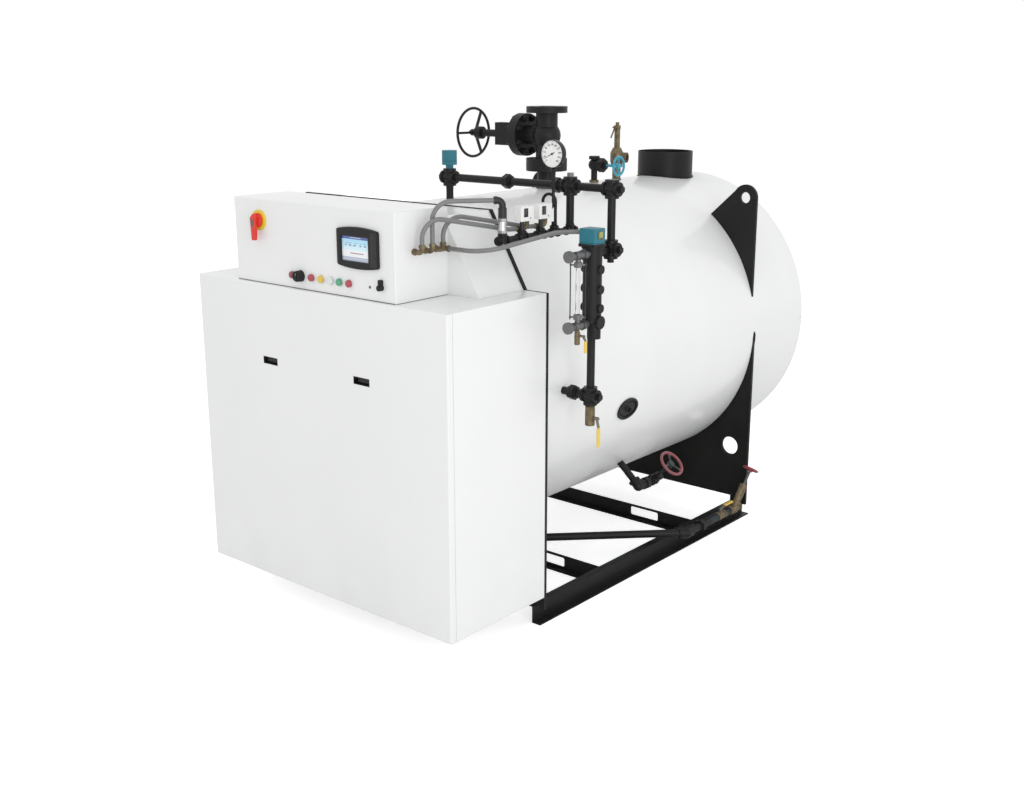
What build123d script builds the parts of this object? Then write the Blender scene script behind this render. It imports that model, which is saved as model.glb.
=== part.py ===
from build123d import *
import math
import os

os.makedirs("parts", exist_ok=True)

# Lines of the package: X to the right, Y to the back, Z up, zero on the floor
# under the foot of the front cross-member, on the centreline
cabinet_front_y = -1125
cabinet_width = 1500
cabinet_depth = 591
cabinet_height = 1329
cabinet_bottom = 138
cabinet_edge_radius = 5
cabinet_wall = 3
pull_width = 92
pull_height = 32
pull_depth = 24
pull_wall = 3
pull_offset = 281
pull_level = 1138

# Front tube plate, standing on the rails
plate_thickness = 16
plate_top = 1783
plate_shoulder = 637
plate_right_top = 451
plate_left_top = 699

# Hood over the burner and the box with the controls
hood_depth = 273
hood_bottom_half = 630
hood_top_half = 444
hood_height = 313
hood_edge_radius = 4
hood_wall = 3
box_left = 498
box_right = 464
box_height = 352
box_depth = 295
box_edge_radius = 4
box_wall = 2

# Pressure vessel in its insulated jacket
shell_radius = 750
axis_height = 1028
shell_length = 2215
jacket_thickness = 60
end_thickness = 28
end_lip = 10
end_recess = 8

# Skid: two Z rails and two pocketed cross-members
rail_height = 81
rail_web = 6
rail_flange = 40
rail_half_gauge = 689
rail_end_y = 1277
member_flange = 40
rear_member_y = 812
pocket_width = 174
pocket_height = 46
pocket_offset = 351
pocket_corner = 10

# Rear saddle plate and lifting lugs
saddle_y = 1195
saddle_thickness = 16
saddle_half_width = 750
saddle_bottom = 116
saddle_hole_x = 640
saddle_hole_level = 392
saddle_hole_radius = 48
foot_length = 92
lug_edge = 728
lug_eye_x = 662
lug_eye_level = 1711
lug_eye_radius = 28
lug_round = 66
lug_inner_x = 466
lug_lean = 28

# Flue outlet on the top
stack_y = 1465
stack_radius = 150
stack_wall = 5
stack_rise = 128

# Hand hole covers, one at each side
handhole_y = 90
handhole_angle = 104.7
handhole_length = 150
handhole_width = 98
handhole_ring = 9
handhole_thickness = 14
handhole_yoke = 26
handhole_nut = 15
handhole_stud = 22
handhole_sink_share = 2.5
handhole_floor_share = 0.5

# Steam outlet and main steam valve
steam_y = 407
flange_radius = 100
flange_thickness = 30
flange_bolt_circle = 80
flange_hole = 9
flange_holes = 8
hole_turn_share = 0.5
nozzle_radius = 45
nozzle_bore = 39
nozzle_rise = 84
valve_height = 276
valve_body_radius = 53
valve_barrel_radius = 45
valve_ball_radius = 68
valve_barrel_end = 118
bonnet_flange_thickness = 25
bonnet_flange_radius = 103
bonnet_length = 50
bonnet_end_radius = 40
bonnet_root_share = 0.72
yoke_length = 95
yoke_height = 110
yoke_width = 46
yoke_wall = 9
yoke_rod_share = 1.3
stem_sleeve_radius = 18
stem_sleeve_length = 101
stem_radius = 10
stem_length = 51
stem_tip_length = 23
wheel_radius = 120
wheel_rim = 6.8
wheel_dish = 12
wheel_hub_radius = 17
wheel_hub_length = 28
wheel_nut_radius = 31
wheel_nut_length = 36
wheel_spoke = 11
wheel_spokes = 3

# Threaded pipe and its fittings
seam_turn = 37
seat_gap = 0.3
hex_sides = 6
bulge_share = 1.05
pipe_radius = 16.7
fitting_radius = 24
band_radius = 29
band_length = 13
fitting_arm = 38
union_radius = 32
union_length = 44
plug_radius = 15
plug_length = 16

# Steam header over the shell
header_y = -290
header_level = 1875
tee_x = 679
riser_x = 890
union_x = 341
tee_union_x = 612

# Low-water probe on the left cross
probe_width = 50
probe_height = 64
probe_neck_radius = 17
probe_neck_length = 16
probe_edge_radius = 5

# Water column and its gauge glass
column_y = -414
column_top = 1650
column_bottom = 1348
column_radius = 39
column_cap_radius = 46
column_cap_thickness = 8
sump_shift = 12
sump_radius = 28
sump_length = 65
riser_bottom = 1632
lower_cross_level = 1039
lower_union_run = 88
shell_sink_share = 0.9
boss_radius = 18
boss_reach = 48
boss_left_reach = 6
boss_levels = (1567, 1486, 1409)
big_boss_level = 1352
big_boss_radius = 27
head_width = 88
head_depth = 72
head_height = 84
head_edge_radius = 6
cock_levels = (1631, 1347)
cock_radius = 11
cock_body_radius = 17
cock_reach = 163
cock_body_reach = 122
cock_knob_radius = 24
cock_knob_thickness = 12
cock_nut_drop = 27
cock_nut_length = 20
cock_nut_radius = 18
glass_offset = 96
glass_radius = 8.5
glass_ball_level = 1309
glass_ball_radius = 11
glass_ball_length = 40
glass_ball_hex = 13
glass_ball_hex_length = 8
glass_ball_boss = 6
guard_radius = 30
guard_rod = 2.5
guard_angle = 40
guard_lug_end = 4
guard_lug_width = 7
guard_lug_height = 7

# Ball valve under the column
ball_body_radius = 20
ball_body_length = 74
ball_hex_radius = 24
ball_hex_length = 14
ball_stem_radius = 7
ball_stem_length = 8
ball_boss_radius = 10
ball_nipple = 17
lever_width = 13
lever_thickness = 4
lever_crank_run = 38
lever_crank_rise = 9
lever_sleeve = 2
lever_length = 118
drain_lever_length = 112
glass_lever_stem = 5
glass_lever_stem_length = 14
glass_lever_width = 11
glass_lever_thickness = 3
glass_lever_length = 64
glass_lever_run = 18
glass_lever_rise = 10
glass_lever_sleeve = 2
lever_gap = 5
spout_length = 34

# Manifold with two pressure controls and the gauge
manifold_level = 1693
manifold_front_y = -755
manifold_back_y = -247
manifold_radius = 13.5
manifold_saddle_radius = 17
manifold_saddle_length = 30
manifold_cap_length = 22
limit_ys = (-603, -486)
limit_width = 40
limit_depth = 80
limit_height = 60
limit_low = 1759
limit_case_shift = 12
limit_saddle_length = 17
limit_edge_radius = 4
limit_stem_radius = 9
limit_elbow_radius = 9.5
limit_elbow_side = 11
limit_elbow_shift = 43
limit_elbow_rise = 16
limit_mouth_side = 26
limit_mouth_lead = 2
limit_mouth_run = 36
limit_mouth_bend = 60
gauge_y = -396
gauge_level = 2011
gauge_radius = 57
gauge_depth = 30
gauge_bezel = 5
gauge_lens_recess = 4
siphon_radius = 6.5
siphon_loop_radius = 30
siphon_loop_level = 1818
siphon_shift = -7.5
loop_lead_share = 0.4
loop_steps = 16
gauge_stub_radius = 9
gauge_stub_length = 22
end_valve_y = -723
end_valve_radius = 15.5
end_valve_rise = 58
end_nipple_rise = 40
elbow_bend = 22

# Flexible conduits from the control box to the limits and the column head
conduit_radius = 9.3
connector_radius = 10.8
connector_length = 46
connector_elbow = 30
connector_bend = 18
connector_nut = 12
connector_nut_radius = 13.5
connector_nut_shares = (0.15, 1)
connector_ys = (-1000, -942, -882, -845)
connector_level = 1660
conduit_bend = 75
conduit_top = 1851
conduit_rise = 110
elbow_run = 34
head_knee_x = 690
head_turn_x = 765
head_turn_y = -500
head_mouth_x = 800
head_knee_bend = 120
head_turn_bend = 58
head_entry_level = 1709

# Vent valve and safety valve on the top line
vent_y = 802
vent_level = 1867
vent_wheel_x = 153
vent_body_radius = 30
vent_hex_radius = 36
vent_hex_length = 32
vent_neck_radius = 17
vent_stub_radius = 16
vent_foot_radius = 24
vent_foot_thickness = 12
vent_cap_rise = 44
vent_stem_radius = 7
vent_wheel_radius = 46
vent_wheel_rim = 6
vent_wheel_dish = 5
vent_wheel_hub = 14
vent_wheel_hub_length = 18
vent_wheel_spoke = 7
vent_wheel_spokes = 4
relief_y = 1000
relief_inlet_radius = 22
relief_hex_radius = 34
relief_hex_length = 26
relief_body_radius = 34
relief_body_length = 48
relief_neck_radius = 15
relief_neck_length = 96
relief_cap_radius = 9.6
relief_cap_length = 16
relief_collar_radius = 21
relief_collar_length = 26
relief_nut_radius = 19.5
relief_nut_length = 18
relief_turn = 14
relief_lever_eye = 5
relief_lever_width = 24
relief_lever_radius = 4
relief_lever_length = 62
relief_lever_lean = 33
relief_inlet_length = 66
relief_outlet_radius = 26.5
relief_outlet_reach = 58
relief_outlet_bore = 18

# Bottom blowdown line on the right
blow_y = 361
blow_angle = 137.8
blow_elbow_x = 621
blow_elbow_level = 380
blow_pipe_radius = 16.7
blow_valve_y = 486
blow_valve_radius = 27
blow_valve_length = 62
blow_barrel_length = 34
blow_body_share = 1.1
blow_end_length = 40
blow_bonnet_radius = 18
blow_bonnet_length = 52
blow_stem_radius = 7
blow_wheel_radius = 62
blow_wheel_rim = 7
blow_wheel_dish = 8
blow_wheel_hub = 16
blow_wheel_hub_length = 20
blow_wheel_spoke = 8
blow_wheel_spokes = 3
blow_wheel_reach = 151

# Bottom drain line across the skid
drain_y = -202
drain_level = 113
drain_x = 775
drain_pipe_radius = 19
drain_fitting_radius = 27
drain_union_y = 704
drain_ball_y = 895
drain_wye_y = 1030
drain_wye_length = 104
drain_wye_radius = 26
drain_wye_tilt = 58
drain_wye_splay = 12
drain_bonnet_length = 138
drain_bonnet_radius = 20
drain_stem_length = 88
drain_wheel_radius = 38
drain_wheel_rim = 5
drain_outlet_bore = 14
drain_outlet_depth = 24

# Faces of the control box
screen_x = 250
screen_level = 1671
bezel_width = 238
bezel_height = 158
bezel_arch = 14
bezel_thickness = 14
screen_width = 160
screen_height = 100
screen_recess = 4
disconnect_x = -333
disconnect_level = 1732
disconnect_plate_radius = 42
disconnect_plate_thickness = 8
handle_hub_radius = 24
handle_hub_length = 30
handle_top_half = 13
handle_top_rise = 18
handle_peak_rise = 26
handle_tip_half = 9
handle_depth = 20
handle_length = 84
handle_gap = 5
light_level = 1522
light_xs = (-133, -15, 42, 99, 152, 208)
light_radius = 15
light_reach = 16
knob_x = -85
knob_radius = 24
knob_reach = 30
toggle_x = 379
toggle_radius = 12
toggle_reach = 22
toggle_drop = 8
toggle_rise = 22
toggle_top_share = 0.7
lamp_ring_thickness = 3
lamp_ring_radius = 19

# Directions
right_way = (1, 0, 0)
left_way = (-1, 0, 0)
front_way = (0, -1, 0)
back_way = (0, 1, 0)
up_way = (0, 0, 1)
down_way = (0, 0, -1)

# Places worked out from the sizes above
cabinet_back_y = cabinet_front_y + cabinet_depth
cabinet_top = cabinet_bottom + cabinet_height
box_front_y = cabinet_back_y - hood_depth - box_depth
shell_front_y = cabinet_back_y + plate_thickness
shell_back_y = shell_front_y + shell_length
shell_top = axis_height + shell_radius
steam_base = shell_top + nozzle_rise + flange_thickness
steam_top = steam_base + valve_height
steam_level = (steam_base + steam_top) / 2
column_ball_level = lower_cross_level - fitting_arm - ball_nipple - ball_body_length / 2
vent_base = (0, vent_y, shell_top)
vent_centre = (0, vent_y, vent_level)
blow_stem_way = (math.sqrt(0.5), 0, math.sqrt(0.5))
drain_diagonal = (math.sqrt(0.5), math.sqrt(0.5), 0)
ball_front_y = drain_ball_y - ball_body_length / 2
ball_back_y = drain_ball_y + ball_body_length / 2
wye_front_y = drain_wye_y - drain_wye_length / 2
wye_back_y = drain_wye_y + drain_wye_length / 2
wye_tilt = math.radians(drain_wye_tilt)
wye_splay = math.radians(drain_wye_splay)
yoke_end_x = -(valve_barrel_end + 2 * bonnet_flange_thickness + bonnet_length + yoke_length)
yoke_end_x -= stem_sleeve_length
drain_turn = (drain_x, drain_y + drain_x, drain_level)
wye_way = (
    math.cos(wye_tilt) * math.sin(wye_splay),
    math.cos(wye_tilt) * math.cos(wye_splay),
    math.sin(wye_tilt),
)
wye_side = (math.cos(wye_splay), -math.sin(wye_splay), 0)
relief_base = shell_top + relief_inlet_length + relief_hex_length
relief_base += relief_body_length + relief_collar_length
ball_sizes = (ball_body_radius, ball_body_length, ball_hex_radius, ball_hex_length, ball_boss_radius)
glass_ball_sizes = (
    glass_ball_radius,
    glass_ball_length,
    glass_ball_hex,
    glass_ball_hex_length,
    glass_ball_boss,
)
lever_stem = (ball_stem_radius, ball_stem_length, lever_width, lever_thickness)
lever_crank = (lever_crank_run, lever_crank_rise, lever_sleeve)
lever_sizes = (*lever_stem, lever_length, *lever_crank)
drain_lever_sizes = (*lever_stem, drain_lever_length, *lever_crank)
glass_lever_sizes = (
    glass_lever_stem,
    glass_lever_stem_length,
    glass_lever_width,
    glass_lever_thickness,
    glass_lever_length,
    glass_lever_run,
    glass_lever_rise,
    glass_lever_sleeve,
)


def bar(start, end, radius):
    """Round bar from start to end."""
    line = Vector(*end) - Vector(*start)
    return Solid.make_cylinder(radius, line.length, Plane(Vector(*start), z_dir=line))


def ball(centre, radius):
    """Round body, turned so that its seam lies away from the pipes."""
    return Pos(*centre) * Rot(0, 0, seam_turn) * Sphere(radius)


def block(x0, x1, y0, y1, z0, z1):
    """Square block between two corners."""
    size = (x1 - x0, y1 - y0, z1 - z0)
    middle = ((x0 + x1) / 2, (y0 + y1) / 2, (z0 + z1) / 2)
    return Pos(*middle) * Box(*size)


def shell_solid(radius):
    """Full round body on the shell axis, longer than the shell at both ends."""
    start = (0, shell_front_y - shell_radius, axis_height)
    end = (0, shell_back_y + shell_radius, axis_height)
    return bar(start, end, radius)


def save(shape, node):
    """Write one node."""
    export_step(shape, "parts/" + node + ".step")


def ahead(point, way, length):
    """Point that lies a length further along a direction."""
    return tuple(p + w * length for p, w in zip(point, way))


def fitting(centre, ways):
    """Malleable fitting: a ball with a banded arm in each direction."""
    body = ball(centre, fitting_radius * bulge_share)
    for way in ways:
        end = ahead(centre, way, fitting_arm)
        body += bar(centre, end, fitting_radius)
        body += bar(ahead(centre, way, fitting_arm - band_length), end, band_radius)
    return body


def wheel(centre, way, first, sizes, dish):
    """Handwheel with a round rim, square spokes and a hub set back by the dish."""
    radius, rim, hub, hub_length, spoke, count = sizes
    plane = Plane(Vector(*centre), x_dir=Vector(*first), z_dir=Vector(*way))
    seam = math.radians(seam_turn)
    seam_way = plane.x_dir * math.cos(seam) + plane.y_dir * math.sin(seam)
    turned = Plane(Vector(*centre), x_dir=seam_way, z_dir=Vector(*way))
    body = Solid.make_torus(radius, rim, turned)
    root = plane.from_local_coords((0, 0, -dish))
    hub_plane = turned.offset(-dish - hub_length / 2)
    body = body + Solid.make_cylinder(hub, hub_length, hub_plane)
    for i in range(count):
        turn = math.tau * i / count
        tip = plane.from_local_coords((radius * math.cos(turn), radius * math.sin(turn), 0))
        line = Vector(*tip) - Vector(*root)
        section = Plane(Vector(*root), x_dir=plane.z_dir.cross(line), z_dir=line)
        body = body + extrude(section * Rectangle(spoke, spoke), line.length)
    return body


def lever(start, way, along, sizes):
    """Cranked flat lever with a sleeve over its end, on its own stem."""
    stem, stem_length, width, thickness, length, run, rise, sleeve = sizes
    low, high = stem_length, stem_length + rise
    half = width / 2
    outline = Polyline(
        (-half, low),
        (half, low),
        (run, high),
        (length, high),
        (length, high + thickness),
        (run - thickness, high + thickness),
        (half - thickness, low + thickness),
        (-half, low + thickness),
        close=True,
    )
    across = Vector(*along).cross(Vector(*way))
    plane = Plane(Vector(*start), x_dir=Vector(*along), z_dir=across)
    body = extrude(plane * make_face(outline), half, both=True)
    grip = Box(length - run, thickness + 2 * sleeve, width + 2 * sleeve)
    grip = fillet(grip.edges().filter_by(Axis.X), sleeve)
    body += plane * Pos((length + run) / 2 + sleeve, high + thickness / 2, 0) * grip
    return body + bar(start, ahead(start, way, stem_length + thickness + stem), stem)


def hexagon(start, end, radius):
    """Six-sided bar, as on a union or a plug."""
    line = Vector(*end) - Vector(*start)
    plane = Plane(Vector(*start), z_dir=line)
    return plane * extrude(RegularPolygon(radius, hex_sides), line.length)


def pipe_bend(points, radii, radius):
    """Round tube along straight runs joined by tangent arcs."""
    line = FilletPolyline(*points, radius=radii)
    start = Plane(line @ 0, z_dir=line % 0)
    return sweep(start * Circle(radius), path=line)


def cabinet():
    """Burner cabinet: a sheet housing, open at the back, with two holes for its pulls."""
    half = cabinet_width / 2
    body = block(-half, half, cabinet_front_y, cabinet_back_y, cabinet_bottom, cabinet_top)
    front_edges = body.faces().sort_by(Axis.Y)[0].edges()
    body = fillet(front_edges, cabinet_edge_radius)
    wall = cabinet_wall
    low, high = cabinet_bottom + wall, cabinet_top - wall
    body -= block(wall - half, half - wall, cabinet_front_y + wall, cabinet_back_y, low, high)
    for x in (-pull_offset, pull_offset):
        body -= pull_pocket(x, 0)
    return body


def pull_pocket(x, wall):
    """Recess of one pull, or the space inside its cup."""
    half = pull_width / 2 - wall
    low = pull_level - pull_height / 2 + wall
    high = pull_level + pull_height / 2 - wall
    back = cabinet_front_y + pull_depth - wall
    return block(x - half, x + half, cabinet_front_y, back, low, high)


def pulls():
    """Two thin cups that line the recesses."""
    cups = [pull_pocket(x, 0) - pull_pocket(x, pull_wall) for x in (-pull_offset, pull_offset)]
    return Compound(children=cups)


def front_plate():
    """Front tube plate, wider at the left of its top, standing on the rails."""
    half = cabinet_width / 2
    outline = Polyline(
        (-half, rail_height),
        (half, rail_height),
        (half, cabinet_top),
        (plate_shoulder, cabinet_top),
        (plate_right_top, plate_top),
        (-plate_left_top, plate_top),
        (-half, cabinet_top),
        close=True,
    )
    plane = Plane((0, cabinet_back_y, 0), x_dir=(1, 0, 0), z_dir=(0, -1, 0))
    return extrude(plane * make_face(outline), -plate_thickness)


def hood():
    """Sloped sheet hood between the box and the front plate, open below and behind."""
    slope = (hood_bottom_half - hood_top_half) / hood_height
    outer = hood_face(hood_bottom_half, hood_top_half, cabinet_top + hood_height)
    thin = hood_wall * math.sqrt(1 + slope**2)
    low, high = hood_bottom_half - thin, hood_top_half - thin + hood_wall * slope
    inner = hood_face(low, high, cabinet_top + hood_height - hood_wall)
    body = extrude(outer, hood_depth)
    top_edges = body.faces().sort_by(Axis.Z)[-1].edges().filter_by(Axis.Y)
    return fillet(top_edges, hood_edge_radius) - extrude(inner, hood_depth - hood_wall)


def hood_face(low_half, high_half, top):
    """Trapezoid on the front plate, from the cabinet's top up."""
    outline = Polyline(
        (-low_half, cabinet_top),
        (low_half, cabinet_top),
        (high_half, top),
        (-high_half, top),
        close=True,
    )
    plane = Plane((0, cabinet_back_y, 0), x_dir=(1, 0, 0), z_dir=(0, -1, 0))
    return plane * make_face(outline)


def control_box():
    """Square sheet box for the controls, open below, on top of the cabinet."""
    back = box_front_y + box_depth
    top = cabinet_top + box_height
    body = block(-box_left, box_right, box_front_y, back, cabinet_top, top)
    body = fillet(body.faces().sort_by(Axis.Y)[0].edges(), box_edge_radius)
    wall = box_wall
    left, right = wall - box_left, box_right - wall
    return body - block(left, right, box_front_y + wall, back - wall, cabinet_top, top - wall)


def front_plane(x, z, out=0):
    """Plane on the face of the control box, looking forward."""
    return Plane((x, box_front_y - out, z), x_dir=(1, 0, 0), z_dir=(0, -1, 0))


def bezel():
    """Screen surround with arched top and bottom, hollow for the screen."""
    half = bezel_width / 2
    low = -bezel_height / 2
    side = [Line((half, low), (half, -low)), Line((-half, -low), (-half, low))]
    top = ThreePointArc((half, -low), (0, bezel_arch - low), (-half, -low))
    bottom = ThreePointArc((-half, low), (0, low - bezel_arch), (half, low))
    face = make_face(side + [top, bottom])
    plane = front_plane(screen_x, screen_level)
    body = extrude(plane * face, bezel_thickness)
    window = extrude(plane * Rectangle(screen_width, screen_height), bezel_thickness)
    return body - window


def screen():
    """Touch screen set back in the surround."""
    plane = front_plane(screen_x, screen_level)
    depth = bezel_thickness - screen_recess
    return extrude(plane * Rectangle(screen_width, screen_height), depth)


def disconnect_plate():
    """Round plate behind the disconnect handle."""
    start = (disconnect_x, box_front_y, disconnect_level)
    return bar(start, ahead(start, front_way, disconnect_plate_thickness), disconnect_plate_radius)


def disconnect_handle():
    """Turning handle, tapered, hanging down in the rest position."""
    out = disconnect_plate_thickness + seat_gap
    start = (disconnect_x, box_front_y - out, disconnect_level)
    hub = bar(start, ahead(start, front_way, handle_hub_length), handle_hub_radius)
    outline = Polyline(
        (-handle_top_half, handle_top_rise),
        (0, handle_peak_rise),
        (handle_top_half, handle_top_rise),
        (handle_tip_half, -handle_length),
        (-handle_tip_half, -handle_length),
        close=True,
    )
    plane = front_plane(disconnect_x, disconnect_level, out + handle_gap)
    return hub + extrude(plane * make_face(outline), handle_depth)


def lights():
    """Row of pilot lights, each a ring and a lens, and the toggle at its end."""
    shapes = []
    for x in light_xs:
        start = (x, box_front_y, light_level)
        ring = bar(start, ahead(start, front_way, lamp_ring_thickness), lamp_ring_radius)
        shapes.append(ring + bar(start, ahead(start, front_way, light_reach), light_radius))
    start = (toggle_x, box_front_y, light_level - toggle_drop)
    shapes.append(bar(start, ahead(start, front_way, toggle_reach), toggle_radius))
    half = toggle_radius * toggle_top_share
    front = box_front_y - toggle_reach * toggle_top_share
    low, high = start[2], light_level + toggle_rise
    shapes[-1] += block(toggle_x - half, toggle_x + half, front, box_front_y, low, high)
    return Compound(children=shapes)


def knob():
    """Selector knob."""
    start = (knob_x, box_front_y - seat_gap, light_level)
    return bar(start, ahead(start, front_way, knob_reach), knob_radius)


def connectors():
    """Brass conduit ends: at the control box, and the elbows under the two controls."""
    shapes = []
    for index, y in enumerate(connector_ys[:-1]):
        start = (box_right, y, connector_level)
        corner = ahead(start, right_way, connector_length)
        top = riser_base(index)
        body = pipe_bend([start, corner, top], connector_bend, connector_radius)
        body += hexagon(start, ahead(start, right_way, connector_nut), connector_nut_radius)
        body += hexagon(ahead(top, down_way, connector_nut), top, connector_nut_radius)
        shapes.append(body)
    start = (box_right, connector_ys[-1], connector_level)
    body = bar(start, ahead(start, right_way, connector_length), connector_radius)
    for share in connector_nut_shares:
        nut = ahead(start, right_way, (connector_length - connector_nut) * share)
        body += hexagon(nut, ahead(nut, right_way, connector_nut), connector_nut_radius)
    shapes.append(body)
    for y in limit_ys:
        mouth, corner = limit_mouth(y)
        top = (corner[0], corner[1], limit_low)
        body = pipe_bend([mouth, corner, top], connector_bend, limit_elbow_radius)
        back = Vector(*corner) - Vector(*mouth)
        way = tuple(back.normalized())
        shapes.append(body + hexagon(mouth, ahead(mouth, way, connector_nut), connector_nut_radius))
    return Compound(children=shapes)


def riser_base(index):
    """Top of one upturned connector."""
    corner = ahead((box_right, connector_ys[index], connector_level), right_way, connector_length)
    return ahead(corner, up_way, connector_elbow)


def limit_mouth(y):
    """Mouth of the brass elbow under one pressure control, and the elbow's corner."""
    level = manifold_level + limit_saddle_length + limit_elbow_rise
    corner = (tee_x - limit_elbow_side, y + limit_elbow_shift, level)
    return (tee_x - limit_mouth_side, y - limit_mouth_lead, level), corner


def conduits():
    """Four conduits from the box to the end valve, the controls and the column head."""
    shapes = []
    for index, y in zip((0, 2), limit_ys):
        base = riser_base(index)
        top = ahead(base, up_way, conduit_rise)
        mouth, corner = limit_mouth(y)
        way = (Vector(*mouth) - Vector(*corner)).normalized()
        points = [base, top, ahead(mouth, tuple(way), limit_mouth_run), mouth]
        bends = [conduit_bend, limit_mouth_bend]
        shapes.append(pipe_bend(points, bends, conduit_radius))
    base = riser_base(1)
    knee = (base[0], base[1], conduit_top)
    shapes.append(pipe_bend([base, knee, elbow_mouth()], conduit_bend, conduit_radius))
    start = (box_right + connector_length, connector_ys[-1], connector_level)
    knee = (head_knee_x, connector_ys[-1], connector_level)
    turn = (head_turn_x, head_turn_y, head_entry_level)
    mouth = (head_mouth_x, column_y, head_entry_level)
    end = (riser_x - head_width / 2, column_y, head_entry_level)
    bends = [head_knee_bend, head_turn_bend, head_turn_bend]
    shapes.append(pipe_bend([start, knee, turn, mouth, end], bends, conduit_radius))
    return Compound(children=shapes)


def elbow_mouth():
    """Mouth of the elbow over the end valve, facing its conduit."""
    base = riser_base(1)
    top = Vector(tee_x, end_valve_y, conduit_top)
    way = (Vector(base[0], base[1], conduit_top) - top).normalized()
    return ahead(tuple(top), tuple(way), elbow_run)


def jacket():
    """Insulated round shell, open at both ends, with the steam and flue outlets cut."""
    start = (0, shell_front_y, axis_height)
    end = (0, shell_back_y, axis_height)
    inner = shell_radius - jacket_thickness
    body = bar(start, end, shell_radius) - bar(start, end, inner)
    flue = (0, stack_y, axis_height)
    body -= bar(flue, (0, stack_y, shell_top), stack_radius - stack_wall)
    steam = (0, steam_y, axis_height)
    return body - bar(steam, (0, steam_y, shell_top), nozzle_bore)


def rear_end():
    """Flat rear end with a low lip round its edge."""
    start = (0, shell_back_y, axis_height)
    end = ahead(start, back_way, end_thickness)
    disc = bar(start, end, shell_radius)
    dish = bar(ahead(start, back_way, end_thickness - end_recess), end, shell_radius - end_lip)
    return disc - dish


def stack():
    """Open flue outlet on the top of the shell."""
    start = (0, stack_y, axis_height)
    end = (0, stack_y, shell_top + stack_rise)
    tube = bar(start, end, stack_radius) - bar(start, end, stack_radius - stack_wall)
    return tube - shell_solid(shell_radius)


def handholes():
    """Oval covers with a yoke and a nut, seated on the shell at both sides."""
    shapes = []
    for turn in (handhole_angle, -handhole_angle):
        way = (math.sin(math.radians(turn)), 0, math.cos(math.radians(turn)))
        centre = ahead((0, handhole_y, axis_height), way, shell_radius)
        plane = Plane(Vector(*centre), x_dir=(0, 1, 0), z_dir=Vector(*way))
        depth = handhole_thickness * handhole_sink_share
        ring = plane.offset(-depth) * SlotOverall(handhole_length, handhole_width)
        body = extrude(ring, handhole_thickness + depth)
        rim = 2 * handhole_ring
        inner = SlotOverall(handhole_length - rim, handhole_width - rim)
        floor = handhole_thickness * handhole_floor_share
        body -= extrude(plane.offset(floor) * inner, handhole_thickness)
        yoke = plane.offset(handhole_thickness) * Rectangle(handhole_length, handhole_yoke)
        body += extrude(yoke, handhole_thickness)
        stud = ahead(centre, way, 2 * handhole_thickness + handhole_stud)
        body += bar(ahead(centre, way, floor), stud, handhole_nut)
        shapes.append(body - shell_solid(shell_radius))
    return Compound(children=shapes)


def plate_face(points):
    """Face in the plane of the saddle plate."""
    plane = Plane((0, saddle_y, 0), x_dir=(1, 0, 0), z_dir=(0, -1, 0))
    return plane * make_face(Polyline(*points, close=True))


def saddle():
    """Saddle plate under the shell, with two holes and two feet on the rails."""
    half = saddle_half_width
    foot = half - foot_length
    points = (
        (-half, rail_height),
        (-foot, rail_height),
        (-foot, saddle_bottom),
        (foot, saddle_bottom),
        (foot, rail_height),
        (half, rail_height),
        (half, axis_height),
        (-half, axis_height),
    )
    body = extrude(plate_face(points), -saddle_thickness)
    for x in (-saddle_hole_x, saddle_hole_x):
        start = (x, saddle_y, saddle_hole_level)
        body -= bar(start, ahead(start, back_way, saddle_thickness), saddle_hole_radius)
    return body - shell_solid(shell_radius)


def lugs():
    """Two lifting lugs with an eye, on the shoulders of the shell."""
    shapes = []
    lean = math.radians(lug_lean)
    high = (lug_eye_x - lug_round * math.sin(lean), lug_eye_level + lug_round * math.cos(lean))
    inner_level = axis_height + math.sqrt(shell_radius**2 - lug_inner_x**2)
    for side in (1, -1):
        points = (
            (side * high[0], high[1]),
            (side * lug_inner_x, inner_level),
            (side * lug_inner_x, axis_height),
            (side * lug_edge, axis_height),
            (side * lug_edge, lug_eye_level),
        )
        body = extrude(plate_face(points), -saddle_thickness)
        start = (side * lug_eye_x, saddle_y, lug_eye_level)
        end = ahead(start, back_way, saddle_thickness)
        body += bar(start, end, lug_round)
        body -= bar(start, end, lug_eye_radius)
        body -= shell_solid(shell_radius)
        shapes.append(body.solids().sort_by(Axis.Z)[-1])
    return Compound(children=shapes)


def rails():
    """Two Z rails: top flange inward, web upright, bottom flange outward."""
    shapes = []
    web = rail_half_gauge
    for side in (1, -1):
        inner = web - rail_web
        points = (
            (side * (web - rail_flange), rail_height),
            (side * web, rail_height),
            (side * web, rail_web),
            (side * (web + rail_flange), rail_web),
            (side * (web + rail_flange), 0),
            (side * inner, 0),
            (side * inner, rail_height - rail_web),
            (side * (web - rail_flange), rail_height - rail_web),
        )
        plane = Plane((0, cabinet_back_y, 0), x_dir=(1, 0, 0), z_dir=(0, -1, 0))
        face = plane * make_face(Polyline(*points, close=True))
        shapes.append(extrude(face, cabinet_back_y - rail_end_y))
    return Compound(children=shapes)


def cross_members():
    """Two angle members between the rails, each with two lifting pockets."""
    shapes = []
    half = rail_half_gauge - rail_web
    for y in (0, rear_member_y):
        front = y - member_flange / 2
        back = front + member_flange
        web = block(-half, half, back - rail_web, back, 0, rail_height - rail_web)
        foot = block(-half, half, front, back, 0, rail_web)
        body = web + foot
        for x in (-pocket_offset, pocket_offset):
            plane = Plane((x, back, rail_height / 2), x_dir=(1, 0, 0), z_dir=(0, -1, 0))
            pocket = RectangleRounded(pocket_width, pocket_height, pocket_corner)
            body -= extrude(plane * pocket, rail_web)
        shapes.append(body)
    return Compound(children=shapes)


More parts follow.
